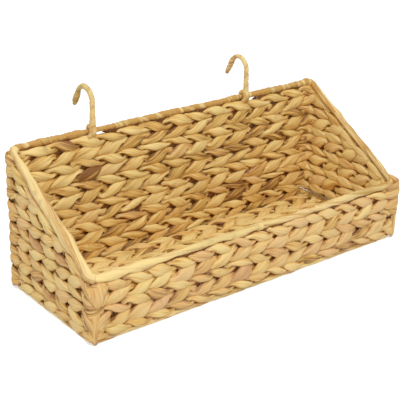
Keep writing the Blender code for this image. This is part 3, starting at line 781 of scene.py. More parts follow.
def corner_line(stops, rng, tint):
    """A broad stitch round a corner; each stop is along, up, out, width and thickness."""
    stops = np.array(stops)
    place = np.linspace(0.0, 1.0, len(stops))
    fine = np.linspace(0.0, 1.0, CORNER_STEPS + 1)
    eased = [np.interp(fine, place, stops[:, column]) for column in range(stops.shape[1])]
    kernel = np.ones(CORNER_EASING) / CORNER_EASING
    half = CORNER_EASING // 2
    padded = [np.pad(line, half, mode="reflect", reflect_type="odd") for line in eased]
    along, up, out, width, thickness = [np.convolve(line, kernel, "valid") for line in padded]
    tip = round_ends(fine, 1 - fine, END_SHARE)
    tone = np.full_like(fine, tint[0] + rng.normal(0.0, CORNER_TINT_SPREAD))
    rose = np.full_like(fine, tint[1] + rng.normal(0.0, CORNER_TINT_SPREAD))
    return {
        "centre": np.stack((along, up, out), axis=-1),
        "out": np.tile((0.0, 0.0, 1.0), (len(fine), 1)),
        "width": width * tip,
        "thickness": thickness * tip,
        "tone": np.stack((tone, np.zeros_like(fine), rose), axis=-1),
    }


def add_corner_rows(bm, x_sign, y_sign, rows, rng):
    """Carry each row round the corner post, outside it and in the basket's corner."""
    outside = CornerFace(x_sign, y_sign, OUTER_INSET, OUTER_INSET + HALF_WALL)
    inside = CornerFace(x_sign, y_sign, INNER_INSET, INNER_BEND, side=-1)
    for k in range(rows):
        middle = FOOT + (k + 0.5) * ROW_HEIGHT + rng.normal(0.0, CORNER_LIFT_SPREAD)
        tilt = rng.normal(0.0, CORNER_TILT) + CORNER_TILT * lean_of(k, rows)
        out = CORNER_OUT + rng.normal(0.0, CORNER_OUT_SPREAD)
        height = ROW_HEIGHT * (CORNER_HEIGHT + rng.normal(0.0, CORNER_HEIGHT_SPREAD))
        stops = (
            (-0.016, middle + 2 * tilt, 0.0015, 0.005, 0.0040),
            (-0.009, middle + tilt, out - 0.0004, 0.9 * height, 0.0045),
            (0.000, middle, out, height, 0.0048),
            (0.009, middle - tilt, out - 0.0004, 0.9 * height, 0.0045),
            (0.016, middle - 2 * tilt, 0.0015, 0.005, 0.0040),
        )
        add_strand(bm, outside, corner_line(stops, rng, CORNER_TINT), rng)
        stops = (
            (-0.012, middle - tilt, 0.0005, 0.006, 0.0040),
            (0.000, middle, 0.0020, 0.9 * height, 0.0045),
            (0.012, middle + tilt, 0.0005, 0.006, 0.0040),
        )
        add_strand(bm, inside, corner_line(stops, rng, CORNER_TINT), rng)


def add_broad_leaves(bm, x_sign, leaves, rng):
    """Broad leaves down a front corner, the upper ones over the lower."""
    outside = CornerFace(x_sign, -1, OUTER_INSET, OUTER_INSET + HALF_WALL)
    for stops in leaves:
        add_strand(bm, outside, corner_line(np.array(stops) * MM, rng, BROAD_LEAF_TINT), rng)


# Broad leaves of the front corners, the lowest first, in mm: along the bend, up, out, width and thickness
LEFT_LEAVES = (
    (
        (4.0, 38.5, 3.0, 10.0, 3.0), (4.2, 33.0, 4.6, 16.0, 4.0), (4.0, 27.0, 5.4, 15.0, 4.2),
        (3.0, 20.5, 5.4, 8.0, 4.0), (2.8, 14.0, 5.0, 6.6, 3.8), (3.6, 6.0, 4.6, 7.4, 3.6),
        (3.8, 0.4, 4.0, 8.0, 3.0),
    ),
    (
        (23.5, 31.0, 3.6, 3.0, 2.6), (17.0, 30.2, 5.2, 7.0, 3.6), (11.0, 27.5, 6.0, 8.8, 4.0),
        (6.0, 22.0, 5.6, 6.5, 3.6), (4.5, 15.0, 4.8, 4.0, 3.0),
    ),
    (
        (-14.0, 34.0, 3.6, 3.0, 2.6), (-9.0, 32.7, 5.2, 6.5, 3.6), (-3.5, 29.0, 6.0, 8.2, 4.0),
        (0.5, 22.5, 5.6, 6.0, 3.6), (1.8, 15.0, 4.8, 4.0, 3.0),
    ),
    (
        (21.5, 60.0, 3.0, 2.0, 2.6), (16.5, 59.7, 5.0, 6.2, 3.4), (12.0, 56.0, 6.0, 8.8, 4.0),
        (9.5, 50.0, 6.2, 6.8, 3.8), (8.0, 44.0, 5.6, 3.0, 3.0),
    ),
    (
        (-11.0, 65.5, 3.0, 2.0, 2.6), (-6.8, 62.2, 5.0, 6.2, 3.4), (-2.5, 57.0, 6.0, 8.2, 4.0),
        (1.2, 51.0, 6.2, 6.5, 3.8), (4.0, 44.5, 5.6, 3.0, 3.0),
    ),
    (
        (5.5, 65.0, 1.6, 22.0, 3.0), (5.8, 60.5, 5.0, 24.0, 4.0), (6.0, 55.5, 6.4, 20.0, 4.4),
        (6.3, 50.0, 6.8, 15.0, 4.4), (6.6, 45.0, 6.6, 11.0, 4.0), (6.8, 39.5, 5.4, 7.0, 3.0),
    ),
)
RIGHT_LEAVES = (
    (
        (3.0, 39.0, 3.0, 9.0, 3.4), (3.0, 30.0, 4.8, 10.8, 4.0), (3.2, 18.0, 5.0, 9.8, 4.0),
        (3.0, 8.0, 4.8, 8.4, 4.0), (2.8, 0.6, 4.0, 7.6, 3.4),
    ),
    (
        (-15.0, 50.5, 2.0, 8.0, 3.0), (-6.0, 48.0, 4.8, 13.0, 4.0), (2.0, 46.2, 5.8, 15.2, 4.2),
        (11.0, 45.0, 5.6, 14.8, 4.2), (18.0, 44.5, 4.8, 11.0, 3.8), (23.5, 44.5, 3.0, 5.0, 3.0),
    ),
    (
        (-15.0, 64.0, 2.0, 8.0, 3.0), (-6.0, 61.2, 4.8, 13.0, 4.0), (2.0, 59.2, 6.0, 15.0, 4.2),
        (11.0, 58.5, 5.8, 14.6, 4.2), (18.0, 58.0, 5.0, 11.0, 3.8), (23.5, 58.0, 3.0, 5.0, 3.0),
    ),
    (
        (-16.0, 74.5, 1.0, 4.0, 3.0), (-8.0, 70.0, 4.0, 7.8, 3.6), (0.0, 66.8, 5.2, 9.5, 4.0),
        (8.0, 65.5, 5.4, 8.8, 4.0), (15.0, 65.2, 4.6, 6.2, 3.6), (21.0, 65.2, 3.0, 3.0, 3.0),
    ),
)


class BASKET_OT_corner_stitches(bpy.types.Operator):
    """Carry the weave round the four corners"""

    bl_idname = "basket.corner_stitches"
    bl_label = "Corner stitches"

    def execute(self, context):
        corners = (
            ("front_left_corner", -1, -1, FRONT_ROWS, LEFT_LEAVES),
            ("front_right_corner", 1, -1, FRONT_ROWS, RIGHT_LEAVES),
            ("back_right_corner", 1, 1, BACK_ROWS, ()),
            ("back_left_corner", -1, 1, BACK_ROWS, ()),
        )
        for index, (name, x_sign, y_sign, rows, leaves) in enumerate(corners):
            rng = own_random(10 + index)
            bm = new_bmesh()
            add_corner_rows(bm, x_sign, y_sign, rows, rng)
            add_broad_leaves(bm, x_sign, leaves, rng)
            finish_piece(name, bm, hyacinth_material())
        return {"FINISHED"}


# Strips wound round the rods


# Steps of a bend, how many of them the strips of two sides share there, and the length of their round ends
BEND_STEPS = 8
BEND_OVERLAP = 2
ROUND_END = 0.0026


def corner_points(corners, index):
    """Points round one bend of a ring, from the side before to the side after."""
    corner = corners[index]
    before = (corners[index - 1] - corner).normalized()
    after = (corners[(index + 1) % len(corners)] - corner).normalized()
    centre = corner + BEND_RADIUS * (before + after)
    shares = [step / BEND_STEPS for step in range(BEND_STEPS + 1)]
    return [centre + BEND_RADIUS * (-after).slerp(-before, share) for share in shares]


def side_path(corners, index):
    """One side of a ring, from just before the middle of one bend to just past the middle of the next."""
    leaving = corner_points(corners, index)[BEND_STEPS // 2 - BEND_OVERLAP:]
    arriving = corner_points(corners, (index + 1) % len(corners))[: BEND_STEPS // 2 + 1 + BEND_OVERLAP]
    return [*leaving, *arriving]


def resampled(path, spacing):
    """Points evenly spaced along a path."""
    path = np.array([point[:] for point in path])
    length = lengths_along(path)
    count = max(2, int(round(length[-1] / spacing)))
    places = np.linspace(0.0, length[-1], count + 1)
    return np.stack([np.interp(places, length, path[:, axis]) for axis in range(3)], axis=-1), places


def smooth_noise(rng, places, spacing, spread):
    """Random values every so often along a path, eased in between."""
    count = int(places[-1] / spacing) + 3
    values = rng.normal(0.0, spread, count)
    place = places / spacing
    base = np.floor(place).astype(int)
    share = smooth_share(place - base, 0.0, 1.0)
    return values[base] * (1 - share) + values[base + 1] * share


# A rod with a smaller level share of its direction is steep, and its frame starts from the X axis
LEVEL_SHARE = 0.3


def rod_frame(centre):
    """Directions away from the basket's middle and down, square to a rod at each of its points."""
    along = unit(np.gradient(centre, axis=0))
    outward = np.cross(along, np.array((0.0, 0.0, 1.0)))
    if np.min(np.linalg.norm(outward, axis=1)) < LEVEL_SHARE:
        outward = np.tile((1.0, 0.0, 0.0), (len(centre), 1))
    outward = unit(outward - np.sum(outward * along, axis=1, keepdims=True) * along)
    return outward, np.cross(along, outward)


def tube(centre, outward, down, radius, angle):
    """Closed rings of points round a centre line, with a radius for each ring and angle."""
    sideways = (radius * np.cos(angle))[..., None] * outward[:, None, :]
    downwards = (radius * np.sin(angle))[..., None] * down[:, None, :]
    points = centre[:, None, :] + sideways + downwards
    points[:, -1] = points[:, 0]
    return points


# Leaves on a rod: spacing of their sections, how far each climbs over the one before, and the share of its
# length after which the next one starts
LEAF_STEP = 0.002
LEAF_CLIMB = 0.0010
LEAF_PROGRESS = 0.72
# Share of its length by which the first leaf starts before the rod, and the least of the last one on it
LEAF_EARLY = (0.2, 0.6)
LEAF_LEAST = 0.3
# Sections of the shortest leaf, and of a leaf's round end
LEAST_SECTIONS = 7
END_SECTIONS = 4
# Spread of length and width as shares, of angle, distance from the rod, tone and green
LEAF_SPREADS = {"length": 0.2, "width": 0.12, "angle": 0.15, "radius": 0.0002, "tone": 0.12, "green": 0.10}
LEAF_TONE_WAVE = 0.02
MOST_LEAF_GREEN = 0.6
# Width and thickness of a leaf's ends as shares of its middle's
NARROWEST = 0.3
THINNEST = 0.5


def add_rod_leaves(bm, path, lane, rng):
    """Long leaves laid along a rod, each one over the end of the last and twisting slowly round it."""
    centre, place = resampled(path, LEAF_STEP)
    outward, down = rod_frame(centre)

    def uneven(name):
        return rng.normal(0.0, LEAF_SPREADS[name])

    start = -rng.uniform(*LEAF_EARLY) * lane["length"]
    while start < place[-1] - LEAF_LEAST * lane["length"]:
        length = lane["length"] * (1 + uneven("length"))
        inside = (place >= start) & (place <= start + length)
        share = (place[inside] - start) / length
        count = len(share)
        if count >= LEAST_SECTIONS:
            plump = np.sin(math.pi * share) ** 0.6
            end = round_ends(np.arange(count), np.arange(count)[::-1], END_SECTIONS)
            angle = lane["angle"] + uneven("angle") + lane["twist"] * (share - 0.5)
            radius = lane["radius"] + LEAF_CLIMB * (share - 0.5) + uneven("radius")
            direction = np.cos(angle)[:, None] * outward[inside] + np.sin(angle)[:, None] * down[inside]
            width = lane["width"] * (1 + uneven("width")) * (NARROWEST + (1 - NARROWEST) * plump)
            tone = lane["tone"] + uneven("tone")
            past = place[inside] - place[inside][0]
            tone = tone + smooth_noise(rng, past, LEAF_TONE_WAVE, LEAF_SPREADS["tone"])
            green = np.full_like(tone, np.clip(lane["green"] + uneven("green"), 0.0, MOST_LEAF_GREEN))
            line = {
                "centre": centre[inside] + radius[:, None] * direction,
                "out": direction,
                "width": width * end,
                "thickness": lane["thickness"] * (THINNEST + (1 - THINNEST) * plump) * end,
                "tone": np.stack((tone, green, np.zeros_like(tone)), axis=-1),
            }
            add_strand(bm, None, line, rng)
        start += LEAF_PROGRESS * length


# Wound rods: spacing and sides of their sections, a little more than the wire inside, and the shortest turn
ROD_STEP = 0.0012
ROD_SIDES = 24
CORE_RADIUS = 0.0018
SHORTEST_TURN = 0.35
# Section of a turn, in steps: its crown, its climb over the one before and the depth of the seam
CROWN = 0.7
CLIMB = 0.6
SEAM = 0.8
# Creases along the strip: height in steps, number, and how far and how often they wander
CREASE = 0.2
CREASES = 3
CREASE_WANDER = 1.7
CREASE_WAVES = 2.1
# Lengths of the waves in thickness, in roundness and to the two sides
THICKNESS_WAVE = 0.014
ROUNDNESS_WAVE = 0.009
SIDE_WAVES = (0.035, 0.030)
# Turns from one change of tone or green to the next, and the spread and most of green
TONE_TURNS = 0.7
GREEN_TURNS = 1.5
STRIP_GREEN_SPREAD = 0.16
MOST_WOUND_GREEN = 0.8
# Thickness along a rod, and its changes of tone, green and rose
EVEN_SWELL = ((0.0, 1.0), (1.0, 1.0))
EVEN_HUES = ((0.0, 0.0, 0.0, 0.0), (1.0, 0.0, 0.0, 0.0))


def add_wound_rod(bm, path, winding, rng):
    """A strip wound round a path, each turn stepping up over the one before."""
    centre, length = resampled(path, winding.get("spacing", ROD_STEP))
    outward, down = rod_frame(centre)
    diameter, turn, step, wave = (winding[name] for name in ("diameter", "turn", "step", "wave"))
    starts = winding.get("starts", 1)
    ends = [0.0]
    while ends[-1] < length[-1] + 2 * turn:
        ends.append(ends[-1] + turn * max(SHORTEST_TURN, 1 + rng.normal(0.0, winding["uneven"])))
    turns = np.interp(length, ends, np.arange(len(ends))) + rng.uniform(0.0, 1.0)
    angle = np.linspace(0.0, 2 * math.pi, ROD_SIDES + 1)
    phase = turns[:, None] - starts * angle / (2 * math.pi)
    number = np.floor(phase)
    part = phase - number
    wound = number / starts + angle / (2 * math.pi)
    crown = np.sqrt(np.clip(1 - (2 * part - 1) ** 2, 0.0, 1.0))
    relief = step * (CROWN * crown + CLIMB * part - SEAM)
    wandering = CREASE_WANDER * np.sin(CREASE_WAVES * wound)
    relief += CREASE * step * np.cos(2 * math.pi * part * CREASES + wandering)

    share = length / length[-1]
    swell = np.interp(share, *zip(*winding.get("swell", EVEN_SWELL)))
    radius = diameter / 2 * swell[:, None] + relief + smooth_noise(rng, length, THICKNESS_WAVE, wave)[:, None]
    radius += smooth_noise(rng, length, ROUNDNESS_WAVE, wave / 2)[:, None] * np.cos(2 * angle)
    outwards, downwards = [smooth_noise(rng, length, spacing, wave)[:, None] for spacing in SIDE_WAVES]
    centre = centre + outward * outwards + down * downwards
    radius = np.maximum(radius, CORE_RADIUS + np.hypot(outwards, downwards))
    if winding.get("round"):
        near = np.clip(np.minimum(length, length[-1] - length) / ROUND_END, 0.0, 1.0)
        radius *= np.sqrt(near * (2 - near))[:, None]

    around = math.hypot(math.pi * diameter, starts * turn)
    across = part * turn * math.pi * diameter / around
    # The fibre's third value is each turn's crown, which the material turns into painted shade in the seams and
    # a painted highlight on the crowns
    fibre = np.stack((rng.uniform(0.0, FIBRE_SHIFT) + wound * around, across, CREST_RISE * crown), axis=-1)
    shares, *hues = zip(*winding.get("hues", EVEN_HUES))
    by_tone, by_green, by_rose = [np.interp(share, shares, hue) for hue in hues]
    tone = winding["tone"] + by_tone + smooth_noise(rng, length, turn * TONE_TURNS, winding["spread"])
    green = by_green + smooth_noise(rng, length, turn * GREEN_TURNS, STRIP_GREEN_SPREAD)
    tone = np.stack((tone, np.clip(green, 0.0, MOST_WOUND_GREEN), by_rose), axis=-1)
    centre, outward, down, radius, fibre, tone = [
        np.concatenate((rows[:1], rows, rows[-1:])) for rows in (centre, outward, down, radius, fibre, tone)
    ]
    radius[[0, -1]] = 0.0
    add_skin(bm, tube(centre, outward, down, radius, angle), fibre, tone)


# Sides of a ring of rods, in the order in which it runs round the basket
SIDES = ("front", "right", "back", "left")


def ring_corners(front_z, back_z):
    return [Vector((x, y, z)) for x, y, z in (
        (-MID_X, -MID_Y, front_z), (MID_X, -MID_Y, front_z), (MID_X, MID_Y, back_z), (-MID_X, MID_Y, back_z)
    )]


def tie_path(path, share, length):
    """A short straight stretch of a rod, at a share of the way along it."""
    line = resampled(path, length)[0]
    place = Vector(line[int(share * len(line))])
    step = (Vector(path[-1]) - Vector(path[0])).normalized() * length / 2
    return place - step, place + step


# Start of the back rim, and its neck in a hook's eye
BACK_SWELL = ((0.0, 1.3), (0.03, 1.35), (0.05, 1.0))
NECK = ((-0.012, 1.0), (-0.008, 0.8), (0.024, 0.8), (0.028, 1.0))
GOLDEN = ((0.0, 0.05, 0.0, 0.0), (0.5, 0.0, 0.05, 0.0), (1.0, 0.0, 0.10, 0.05))
# Thickness of the right rim as a share of the left one's
RIGHT_SHARE = 0.66
# Lumps along the front rim and the left one, and changes of tone, green and rose along the front one
FRONT_SWELL = (
    (0.0, 1.5), (0.03, 1.65), (0.06, 1.7), (0.08, 1.55), (0.10, 1.4), (0.12, 1.7), (0.15, 1.45), (0.18, 1.15),
    (0.25, 1.0), (0.30, 1.15), (0.36, 1.1), (0.42, 1.0), (0.48, 1.05), (0.51, 0.9),
    (0.55, 1.18), (0.62, 1.2), (0.67, 1.05), (0.69, 0.9), (0.72, 1.15), (0.75, 1.0), (0.80, 1.2), (0.88, 1.0),
    (1.0, 1.2),
)
LEFT_SWELL = (
    (0.0, 0.90), (0.12, 0.92), (0.20, 1.0), (0.30, 1.25), (0.38, 1.38), (0.48, 1.22), (0.58, 1.18),
    (0.66, 1.45), (0.70, 1.60), (0.75, 1.25), (0.80, 1.0), (1.0, 0.95),
)
FRONT_HUES = (
    (0.0, 0.12, 0.0, 0.0), (0.36, 0.08, 0.0, 0.0), (0.50, -0.08, 0.0, 0.03), (0.69, -0.26, 0.0, 0.04),
    (1.0, -0.30, 0.0, 0.10),
)
# Long leaves laid on the front and right rims. Angles are from the outer side, negative over the top
RIM_LEAVES = {
    "front_rim_binding": (
        {
            "angle": -2.50, "twist": 0.6, "radius": 0.0026, "width": 0.0050, "thickness": 0.0030,
            "length": 0.085, "tone": 0.66, "green": 0.05,
        },
    ),
    "right_rim_binding": (
        {
            "angle": -2.70, "twist": 0.3, "radius": 0.0040, "width": 0.0050, "thickness": 0.0036,
            "length": 0.080, "tone": 0.30, "green": 0.0,
        },
    ),
}
# Narrow turns that tie the strip down: places as shares of the side, and lengths
TIES = {"front_rim_binding": ((0.505, 0.0066), (0.69, 0.0072), (0.77, 0.0060))}
TIE_STEP = 0.0004
TIE_TURN = 0.0024
TIE_DIAMETER = 0.0070


def neck_swell():
    """Thickness along the back rim, which is thinner in the eyes of the two hooks."""
    swell = list(BACK_SWELL)
    for pivot in sorted(PIVOTS, key=lambda place: -place.x):
        middle = (MID_X - pivot.x) / (2 * MID_X)
        swell += [(middle + share, size) for share, size in NECK]
    return (*swell, (1.0, 1.0))


class BASKET_OT_wound_rims(bpy.types.Operator):
    """Wind the strips round the four rim rods"""

    bl_idname = "basket.wound_rims"
    bl_label = "Wound rims"

    def execute(self, context):
        strip = context.scene.basket_strip
        step = {"step": strip.step_height}
        front = {
            **step, "diameter": strip.rim_diameter, "turn": strip.front_turn, "starts": 2, "uneven": 0.3,
            "wave": 0.0005, "tone": 0.66, "spread": 0.14, "swell": FRONT_SWELL, "hues": FRONT_HUES,
            "round": True,
        }
        back = {
            **step, "diameter": strip.rim_diameter, "turn": strip.back_turn, "uneven": 0.5, "wave": 0.0003,
            "tone": -0.16, "spread": 0.30, "swell": neck_swell(), "hues": GOLDEN, "round": True,
        }
        left = {
            **step, "diameter": strip.side_rim_diameter, "turn": strip.side_turn, "starts": 2, "uneven": 0.3,
            "wave": 0.0007, "tone": 0.68, "spread": 0.16, "swell": LEFT_SWELL, "round": True,
        }
        right = {
            **left, "diameter": RIGHT_SHARE * strip.side_rim_diameter, "wave": 0.0004, "tone": 0.16,
            "swell": EVEN_SWELL, "hues": GOLDEN,
        }
        tie = {
            **step, "diameter": TIE_DIAMETER, "turn": TIE_TURN, "uneven": 0.15,
            "wave": 0.0001, "tone": 0.66, "spread": 0.1, "spacing": TIE_STEP,
        }
        corners = ring_corners(FRONT_RIM_Z, BACK_RIM_Z)
        for index, (side, winding) in enumerate(zip(SIDES, (front, right, back, left))):
            name = side + "_rim_binding"
            rng = own_random(20 + index)
            bm = new_bmesh()
            path = side_path(corners, index)
            add_wound_rod(bm, path, winding, rng)
            for lane in RIM_LEAVES.get(name, ()):
                add_rod_leaves(bm, path, lane, rng)
            for share, length in TIES.get(name, ()):
                add_wound_rod(bm, tie_path(path, share, length), tie, rng)
            finish_piece(name, bm, strip_material())
        return {"FINISHED"}


class BASKET_OT_wound_base(bpy.types.Operator):
    """Wind the strips round the four bottom rods"""

    bl_idname = "basket.wound_base"
    bl_label = "Wound bottom edge"

    def execute(self, context):
        strip = context.scene.basket_strip
        corners = ring_corners(strip.base_diameter / 2, strip.base_diameter / 2)
        winding = {
            "diameter": strip.base_diameter, "turn": strip.base_turn, "step": strip.step_height,
            "uneven": 0.3, "wave": 0.0002, "tone": 0.45, "spread": 0.2, "round": True,
        }
        for index, side in enumerate(SIDES):
            bm = new_bmesh()
            add_wound_rod(bm, side_path(corners, index), winding, own_random(30 + index))
            finish_piece(side + "_base_binding", bm, strip_material())
        return {"FINISHED"}


# Hooks

EYE_RADIUS = 0.0054
EYE_LEAVING = math.radians(140.0)
EYE_OPENING = math.radians(60.0)
HOOK_BEND_RADIUS = 0.0060
STEM_LENGTH = 0.0242
CROWN_RADIUS = 0.0135
TIP_LENGTH = 0.0192
TIP_SPLAY = math.radians(27.0)
# The strip's tail goes on round the rim past the wire's end, and moves aside from where it is free
TAIL_TURN = math.radians(200.0)
TAIL_FREE = math.radians(240.0)
TAIL_ASIDE = 0.0064
TAIL_RISE = 0.0005
# Points of the eye, of the bend over it and of the crown
EYE_POINTS = 40
BEND_POINTS = 6
CROWN_POINTS = 16
# Steps from turn to turn, as a share of the rims'
HOOK_STEP = 0.7
# Thickness along each hook, from its eye to its tip
HOOK_SWELLS = {
    "left": (
        (0.0, 0.85), (0.3, 0.95), (0.38, 1.35), (0.47, 1.10), (0.85, 1.0), (0.91, 1.35), (0.965, 1.25),
        (1.0, 0.7),
    ),
    "right": (
        (0.0, 0.85), (0.3, 0.95), (0.38, 1.35), (0.49, 1.0), (0.80, 1.0), (0.87, 1.38), (0.95, 1.2),
        (1.0, 0.85),
    ),
}
# Changes of tone, green and rose along each hook
HOOK_HUES = {
    "left": (
        (0.0, 0.3, 0.0, 0.3), (0.12, -0.6, 0.0, 0.1), (0.22, 0.0, 0.0, 0.1), (0.6, 0.1, 0.1, 0.1),
        (0.85, -0.2, 0.2, 0.0), (0.92, -0.5, 0.5, 0.0), (1.0, -0.7, 0.6, 0.0),
    ),
    "right": (
        (0.0, 0.3, 0.0, 0.3), (0.12, -0.7, 0.0, 0.1), (0.22, -0.1, 0.2, 0.0), (0.6, 0.0, 0.2, 0.0),
        (0.80, 0.0, 0.0, 0.0), (0.87, -0.5, 0.0, 0.4), (1.0, -0.4, 0.3, 0.2),
    ),
}


def hook_path(pivot):
    """Centre line of a hook, from the tail of its strip round the rim to its tip."""
    points = []
    wire_end = 2 * math.pi - EYE_OPENING
    for angle in np.linspace(wire_end + TAIL_TURN, 0.0, EYE_POINTS):
        free = max(0.0, angle - TAIL_FREE) / (wire_end + TAIL_TURN - TAIL_FREE)
        radius = EYE_RADIUS + TAIL_RISE * free
        place = angle + EYE_LEAVING
        points.append(Vector((-TAIL_ASIDE * free, radius * math.cos(place), radius * math.sin(place))))
    centre = points[-1] * (EYE_RADIUS + HOOK_BEND_RADIUS) / EYE_RADIUS
    for angle in np.linspace(EYE_LEAVING - math.pi, 0.0, BEND_POINTS)[1:]:
        points.append(centre + HOOK_BEND_RADIUS * Vector((0.0, math.cos(angle), math.sin(angle))))
    centre = points[-1] + Vector((0.0, CROWN_RADIUS, STEM_LENGTH))
    for angle in np.linspace(math.pi, TIP_SPLAY, CROWN_POINTS):
        points.append(centre + CROWN_RADIUS * Vector((0.0, math.cos(angle), math.sin(angle))))
    direction = Vector((0.0, math.sin(TIP_SPLAY), -math.cos(TIP_SPLAY)))
    points.append(points[-1] + direction * TIP_LENGTH)
    return [pivot + point for point in points]


class BASKET_OT_wrapped_hooks(bpy.types.Operator):
    """Wind the strips round the two hooks"""

    bl_idname = "basket.wrapped_hooks"
    bl_label = "Wrapped hooks"

    def execute(self, context):
        strip = context.scene.basket_strip
        for index, (side, pivot) in enumerate(zip(("left", "right"), PIVOTS)):
            bm = new_bmesh()
            winding = {
                "diameter": strip.hook_diameter, "turn": strip.hook_turn, "uneven": 0.3, "wave": 0.0003,
                "step": HOOK_STEP * strip.step_height, "tone": 0.52, "spread": 0.24, "spacing": 0.0008,
                "swell": HOOK_SWELLS[side], "hues": HOOK_HUES[side],
            }
            add_wound_rod(bm, hook_path(pivot), winding, own_random(40 + index))
            finish_piece(side + "_hook_wrap", bm, strip_material(), side + "_hook")
        return {"FINISHED"}


# Bare stretch of the frame's wire at the foot of the right wall, inside
BARE_WIRE = (
    (0.1870, 0.0655, 0.0205), (0.1925, 0.0610, 0.0175), (0.1962, 0.0540, 0.0155), (0.1970, 0.0430, 0.0151),
    (0.1972, 0.0340, 0.0152), (0.1968, 0.0240, 0.0154), (0.1974, 0.0170, 0.0152), (0.1992, 0.0105, 0.0140),
)
BARE_WIRE_RADIUS = 0.0012
BARE_WIRE_SIDES = 12


def add_bare_wire():
    """The stretch of the bottom ring that shows, lying along the weave with both ends in it."""
    centre = resampled(BARE_WIRE, 3 * BARE_WIRE_RADIUS)[0]
    radius = np.full((len(centre), 1), BARE_WIRE_RADIUS)
    radius[[0, -1]] = 0.0
    points = tube(centre, *rod_frame(centre), radius, np.linspace(0.0, 2 * math.pi, BARE_WIRE_SIDES + 1))
    bm = new_bmesh()
    add_skin(bm, points, np.zeros_like(points), np.zeros_like(centre))
    finish_piece("bare_wire", bm, iron_material(), replaced=False)


class BASKET_OT_iron_wires(bpy.types.Operator):
    """Give the wire frame and the hook wires their metal, and draw the wire's bare stretch"""

    bl_idname = "basket.iron_wires"
    bl_label = "Iron wires"

    def execute(self, context):
        for name in ("wire_frame", "left_hook_wire", "right_hook_wire"):
            wire = frame["nodes"][name]
            wire.material_slots[0].link = "OBJECT"
            wire.material_slots[0].material = iron_material()
        add_bare_wire()
        return {"FINISHED"}


# Stage

CAMERA_AZIMUTH = math.radians(-38.78)
CAMERA_ELEVATION = math.radians(23.34)
CAMERA_ROLL = math.radians(1.36)
CAMERA_DISTANCE = 1.147
CAMERA_ASIDE = 0.0152
CAMERA_ABOVE = -0.0662
FOCAL_LENGTH = 93.24
SENSOR_WIDTH = 36.0
FLOOR_SIZE = 3.0
FLOOR_GREY = linear("#e6e6e6")
LAMP_PLACE = Vector((-0.55, -0.95, 1.75))
LAMP_SIZE = 0.9
# What the paper adds to its light, as seen by the camera, to be as white as the photo's
PAPER_GLOW = 0.54
WHITE = (1.0, 1.0, 1.0, 1.0)


def is_seen(tree):
    """1 for rays from the camera and for mirrored or refracted ones, so that gloss shows the backdrop too."""
    path = add_node(tree, "ShaderNodeLightPath").outputs
    seen = calculated(tree, "MAXIMUM", _0=path["Is Camera Ray"], _1=path["Is Glossy Ray"])
    return calculated(tree, "MAXIMUM", _0=seen, _1=path["Is Transmission Ray"])


def make_world(context):
    world = bpy.data.worlds.new("studio_sky")
    context.scene.world = world
    world.use_nodes = True
    tree = world.node_tree
    tree.nodes.clear()
    strength = context.scene.basket_studio.sky
    even = add_node(tree, "ShaderNodeBackground", Color=WHITE, Strength=strength)
    white = add_node(tree, "ShaderNodeBackground", Color=WHITE, Strength=1.0)
    mix = add_node(tree, "ShaderNodeMixShader", _0=is_seen(tree), _1=even.outputs[0], _2=white.outputs[0])
    add_node(tree, "ShaderNodeOutputWorld", Surface=mix.outputs[0])


def paper_material():
    """Matt white paper sweep: it keeps the soft shadow and shows as the photo's white."""
    material, tree = new_material("white_paper")
    paper = add_node(tree, "ShaderNodeBsdfDiffuse", Color=(*FLOOR_GREY, 1.0))
    glow = add_node(tree, "ShaderNodeEmission", Color=WHITE, Strength=PAPER_GLOW)
    dark = add_node(tree, "ShaderNodeEmission", Color=(0.0, 0.0, 0.0, 1.0), Strength=0.0)
    seen = add_node(tree, "ShaderNodeMixShader", _0=is_seen(tree), _1=dark.outputs[0], _2=glow.outputs[0])
    both = add_node(tree, "ShaderNodeAddShader", _0=paper.outputs[0], _1=seen.outputs[0])
    add_node(tree, "ShaderNodeOutputMaterial", Surface=both.outputs[0])
    return material


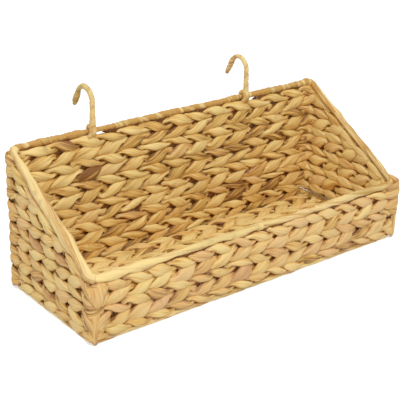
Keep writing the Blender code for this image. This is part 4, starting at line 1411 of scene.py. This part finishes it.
class BASKET_OT_studio(bpy.types.Operator):
    """Set the paper floor, the light and the camera"""

    bl_idname = "basket.studio"
    bl_label = "Studio"

    def execute(self, context):
        scene = context.scene
        scene.view_settings.view_transform = "Standard"
        make_world(context)
        bm = bmesh.new()
        bmesh.ops.create_grid(bm, x_segments=1, y_segments=1, size=FLOOR_SIZE)
        mesh = bpy.data.meshes.new("paper_floor")
        bm.to_mesh(mesh)
        bm.free()
        mesh.materials.append(paper_material())
        floor = bpy.data.objects.new("paper_floor", mesh)
        scene.collection.objects.link(floor)

        light = bpy.data.lights.new("large_lamp", "AREA")
        light.energy = scene.basket_studio.key
        light.size = LAMP_SIZE
        lamp = bpy.data.objects.new("large_lamp", light)
        lamp.location = LAMP_PLACE
        lamp.rotation_euler = (-LAMP_PLACE).to_track_quat("-Z", "Y").to_euler()
        scene.collection.objects.link(lamp)

        back = Vector(
            (
                math.sin(CAMERA_AZIMUTH) * math.cos(CAMERA_ELEVATION),
                -math.cos(CAMERA_AZIMUTH) * math.cos(CAMERA_ELEVATION),
                math.sin(CAMERA_ELEVATION),
            )
        )
        level = Vector((math.cos(CAMERA_AZIMUTH), math.sin(CAMERA_AZIMUTH), 0.0))
        upright = back.cross(level)
        right = math.cos(CAMERA_ROLL) * level + math.sin(CAMERA_ROLL) * upright
        up = math.cos(CAMERA_ROLL) * upright - math.sin(CAMERA_ROLL) * level
        view = bpy.data.cameras.new("photo_camera")
        view.sensor_width = SENSOR_WIDTH
        view.lens = FOCAL_LENGTH
        camera = bpy.data.objects.new("photo_camera", view)
        scene.collection.objects.link(camera)
        place = back * CAMERA_DISTANCE - right * CAMERA_ASIDE - up * CAMERA_ABOVE
        camera.matrix_world = Matrix.Translation(place) @ Matrix((right, up, back)).transposed().to_4x4()
        scene.camera = camera
        return {"FINISHED"}


class BASKET_PT_panel(bpy.types.Panel):
    bl_label = "Basket"
    bl_idname = "BASKET_PT_panel"
    bl_space_type = "VIEW_3D"
    bl_region_type = "UI"
    bl_category = "Basket"

    def draw(self, context):
        column = self.layout.column()
        for operator in OPERATORS:
            column.operator(operator.bl_idname)
        for group in SETTINGS:
            settings = getattr(context.scene, group)
            for name in settings.bl_rna.properties.keys():
                if name not in ("rna_type", "name"):
                    column.prop(settings, name)


OPERATORS = (
    BASKET_OT_iron_wires,
    BASKET_OT_woven_walls,
    BASKET_OT_woven_floor,
    BASKET_OT_corner_stitches,
    BASKET_OT_wound_rims,
    BASKET_OT_wound_base,
    BASKET_OT_wrapped_hooks,
    BASKET_OT_studio,
)
SETTINGS = {
    "basket_weave": BasketWeave,
    "basket_strip": BasketStrip,
    "basket_colours": BasketColours,
    "basket_studio": BasketStudio,
}


def register():
    for item in (*SETTINGS.values(), *OPERATORS, BASKET_PT_panel):
        bpy.utils.register_class(item)
    for name, group in SETTINGS.items():
        setattr(bpy.types.Scene, name, PointerProperty(type=group))


def unregister():
    for name in SETTINGS:
        delattr(bpy.types.Scene, name)
    for item in (BASKET_PT_panel, *reversed(OPERATORS), *reversed(SETTINGS.values())):
        bpy.utils.unregister_class(item)


def clear_scene():
    """Remove what a new file holds beside the frame."""
    loaded = set(frame["nodes"].values()) | set(frame["bodies"].values())
    for item in list(bpy.data.objects):
        if item not in loaded:
            bpy.data.objects.remove(item, do_unlink=True)


def main():
    clear_scene()
    register()
    bpy.ops.basket.iron_wires()
    bpy.ops.basket.woven_walls()
    bpy.ops.basket.woven_floor()
    bpy.ops.basket.corner_stitches()
    bpy.ops.basket.wound_rims()
    bpy.ops.basket.wound_base()
    bpy.ops.basket.wrapped_hooks()
    bpy.ops.basket.studio()


if __name__ == "__main__":
    main()
